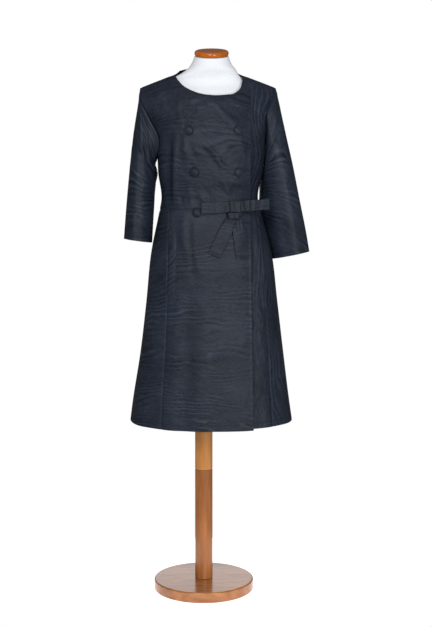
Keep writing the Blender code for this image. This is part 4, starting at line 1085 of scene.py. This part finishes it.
# Wooden stand and neck cap, turned and varnished. The upper pole and the cap are a lighter, more
# orange brown than the lower pole and the base.
BASE_RADIUS, BASE_HEIGHT, BASE_ROUND = 0.1410, 0.0290, 0.0040
POLE_RADIUS, POLE_ROUND, POLE_JOINT_Z = 0.0248, 0.0022, 0.3405
CAP_RADIUS, CAP_HEIGHT, CAP_ROUND = 0.0485, 0.0155, 0.0072
SEAM = 0.0003
# the woods: dark and light colour, roughness, stretch of the grain and varnish
WOODS = {
    "ochre_wood": ((0.40, 0.155, 0.038, 1), (0.76, 0.34, 0.105, 1), 0.34, (60, 60, 7), 0.12),
    "red_wood": ((0.20, 0.066, 0.018, 1), (0.54, 0.20, 0.062, 1), 0.32, (70, 70, 9), 0.12),
    "cap_wood": ((0.30, 0.062, 0.005, 1), (0.74, 0.20, 0.016, 1), 0.20, (9, 60, 60), 0.25),
    "base_wood": ((0.17, 0.055, 0.016, 1), (0.56, 0.22, 0.072, 1), 0.24, (16, 70, 70), 0.35),
}
GRAIN_SHARE, FIGURE_STRETCH = 1.1, 0.25
# name, node, slot, radius, lower and upper end, rounding and wood
RODS = (
    ("base_of_stand", "stand_base", "red_wood", BASE_RADIUS, 0.0, BASE_HEIGHT, BASE_ROUND, "base_wood"),
    ("lower_pole", "stand_pole_lower", "red_wood", POLE_RADIUS, BASE_HEIGHT + SEAM,
     POLE_JOINT_Z - SEAM / 2, POLE_ROUND, "red_wood"),
    ("upper_pole", "stand_pole_upper", "ochre_wood", POLE_RADIUS, POLE_JOINT_Z + SEAM / 2,
     FORM[0][0] - SEAM, POLE_ROUND, "ochre_wood"),
)


def varnished_wood(name):
    """Stained wood with a faint grain under a clear varnish."""
    dark, light, roughness, stretch, varnish = WOODS[name]
    n = Nodes(name)
    here = n.add("ShaderNodeTexCoord").outputs["Object"]
    grain = n.noise(here, stretch, detail=4.0, roughness=0.6)
    figure = n.noise(here, tuple(FIGURE_STRETCH * value for value in stretch))
    tone = n.math("MULTIPLY_ADD", n.math("SUBTRACT", grain, 0.5), GRAIN_SHARE, figure)
    return n.finish({"Base Color": n.blend(tone, dark, light), "Roughness": roughness,
                     "Specular IOR Level": 0.40, "Coat Weight": varnish, "Coat Roughness": 0.10})


def rounded_disc(radius, low, high, rounding):
    """Profile of a disc with rounded upper and lower edges."""
    turn = np.linspace(0, math.pi / 2, 10)
    out, up = radius - rounding * (1 - np.sin(turn)), rounding * (1 - np.cos(turn))
    return [*zip(out, low + up), *zip(out[::-1], high - up[::-1])]


for name, node, slot, *disc, wood in RODS:
    turned(name, node, slot, rounded_disc(*disc), varnished_wood(wood))
tilt_cos, tilt_sin = math.cos(CAP_TILT), math.sin(CAP_TILT)
axes = np.array([[1, 0, 0], [0, tilt_cos, tilt_sin], [0, -tilt_sin, tilt_cos]])
neck_z, *neck_middle = FORM[-1][:3]
origin = np.array([*neck_middle, neck_z]) + SEAM * axes[2]
turned("neck_cap", "form_neck_cap", "ochre_wood", rounded_disc(CAP_RADIUS, 0.0, CAP_HEIGHT, CAP_ROUND),
       varnished_wood("cap_wood"), origin, axes)

# Studio: a white floor and an even white sky, a soft key light from the upper left, a weaker one from
# the right and two behind, of which the base mirrors one. The camera stands 3.3 m in front, at the
# height of the waist.
CAMERA_X, CAMERA_DISTANCE, CAMERA_HEIGHT = 0.0348, 3.3, 1.080
CAMERA_PITCH, CAMERA_LENS, CAMERA_SENSOR, CAMERA_SHIFT = 1.42, 66.73, 36.0, -0.12

scene = bpy.context.scene
scene.view_settings.view_transform = "Standard"

FLOOR_RADIUS, FLOOR_DROP, FLOOR_SIDES, FLOOR_GLOW = 0.5, 0.0005, 96, 0.75
turns = np.linspace(0, 2 * math.pi, FLOOR_SIDES, endpoint=False)
edge = [(FLOOR_RADIUS * math.cos(a), FLOOR_RADIUS * math.sin(a), -FLOOR_DROP) for a in turns]
floor_mesh = bpy.data.meshes.new("studio_floor")
floor_mesh.from_pydata(edge, [], [list(range(FLOOR_SIDES))])
floor = linked("studio_floor", floor_mesh)
floor_mesh.materials.append(Nodes("white_paper").finish({
    "Base Color": (0.95, 0.95, 0.95, 1), "Roughness": 0.9, "Emission Color": (1, 1, 1, 1),
    "Emission Strength": FLOOR_GLOW}))

# the sky is seen white and lights the coat more weakly, and still less what gleams, whose sides
# mirror the dark of the studio
SKY_SEEN, SKY_LIGHT, SKY_GLEAM = 1.0, 0.38, 0.10
sky = Nodes("white_sky", bpy.data.worlds)
seen = sky.add("ShaderNodeLightPath").outputs
gleam = sky.add("ShaderNodeMapRange", {"Value": seen["Is Glossy Ray"], "To Min": SKY_LIGHT,
                                       "To Max": SKY_GLEAM}).outputs["Result"]
level = sky.add("ShaderNodeMapRange", {"Value": seen["Is Camera Ray"], "To Min": gleam,
                                       "To Max": SKY_SEEN}).outputs["Result"]
scene.world = sky.finish({"Color": (1, 1, 1, 1), "Strength": level}, "Background")

AIM = (0.03, 0.0, 1.05)
# name, place, size, power and whether it is mirrored
LIGHTS = (
    ("key_light", (-0.7, -3.2, 2.2), 1.1, 46, True),
    ("fill_light", (1.2, -3.0, 0.9), 0.9, 38, True),
    ("back_light", (-0.3, 3.6, 1.6), 1.8, 22, False),
    ("base_light", (-0.3, 3.5, 1.6), 1.8, 14, True),
)
for name, position, size, power, mirrored in LIGHTS:
    lamp = bpy.data.lights.new(name, "AREA")
    lamp.energy, lamp.size = power, size
    holder = linked(name, lamp)
    holder.location = position
    aim = mathutils.Vector(AIM) - holder.location
    holder.rotation_euler = aim.to_track_quat("-Z", "Y").to_euler()
    holder.visible_glossy = mirrored

lens = bpy.data.cameras.new("camera")
lens.lens, lens.sensor_width, lens.shift_y = CAMERA_LENS, CAMERA_SENSOR, CAMERA_SHIFT
camera = linked("camera", lens)
camera.location = (CAMERA_X, -CAMERA_DISTANCE, CAMERA_HEIGHT)
camera.rotation_euler = (math.radians(90 - CAMERA_PITCH), 0, 0)
scene.camera = camera
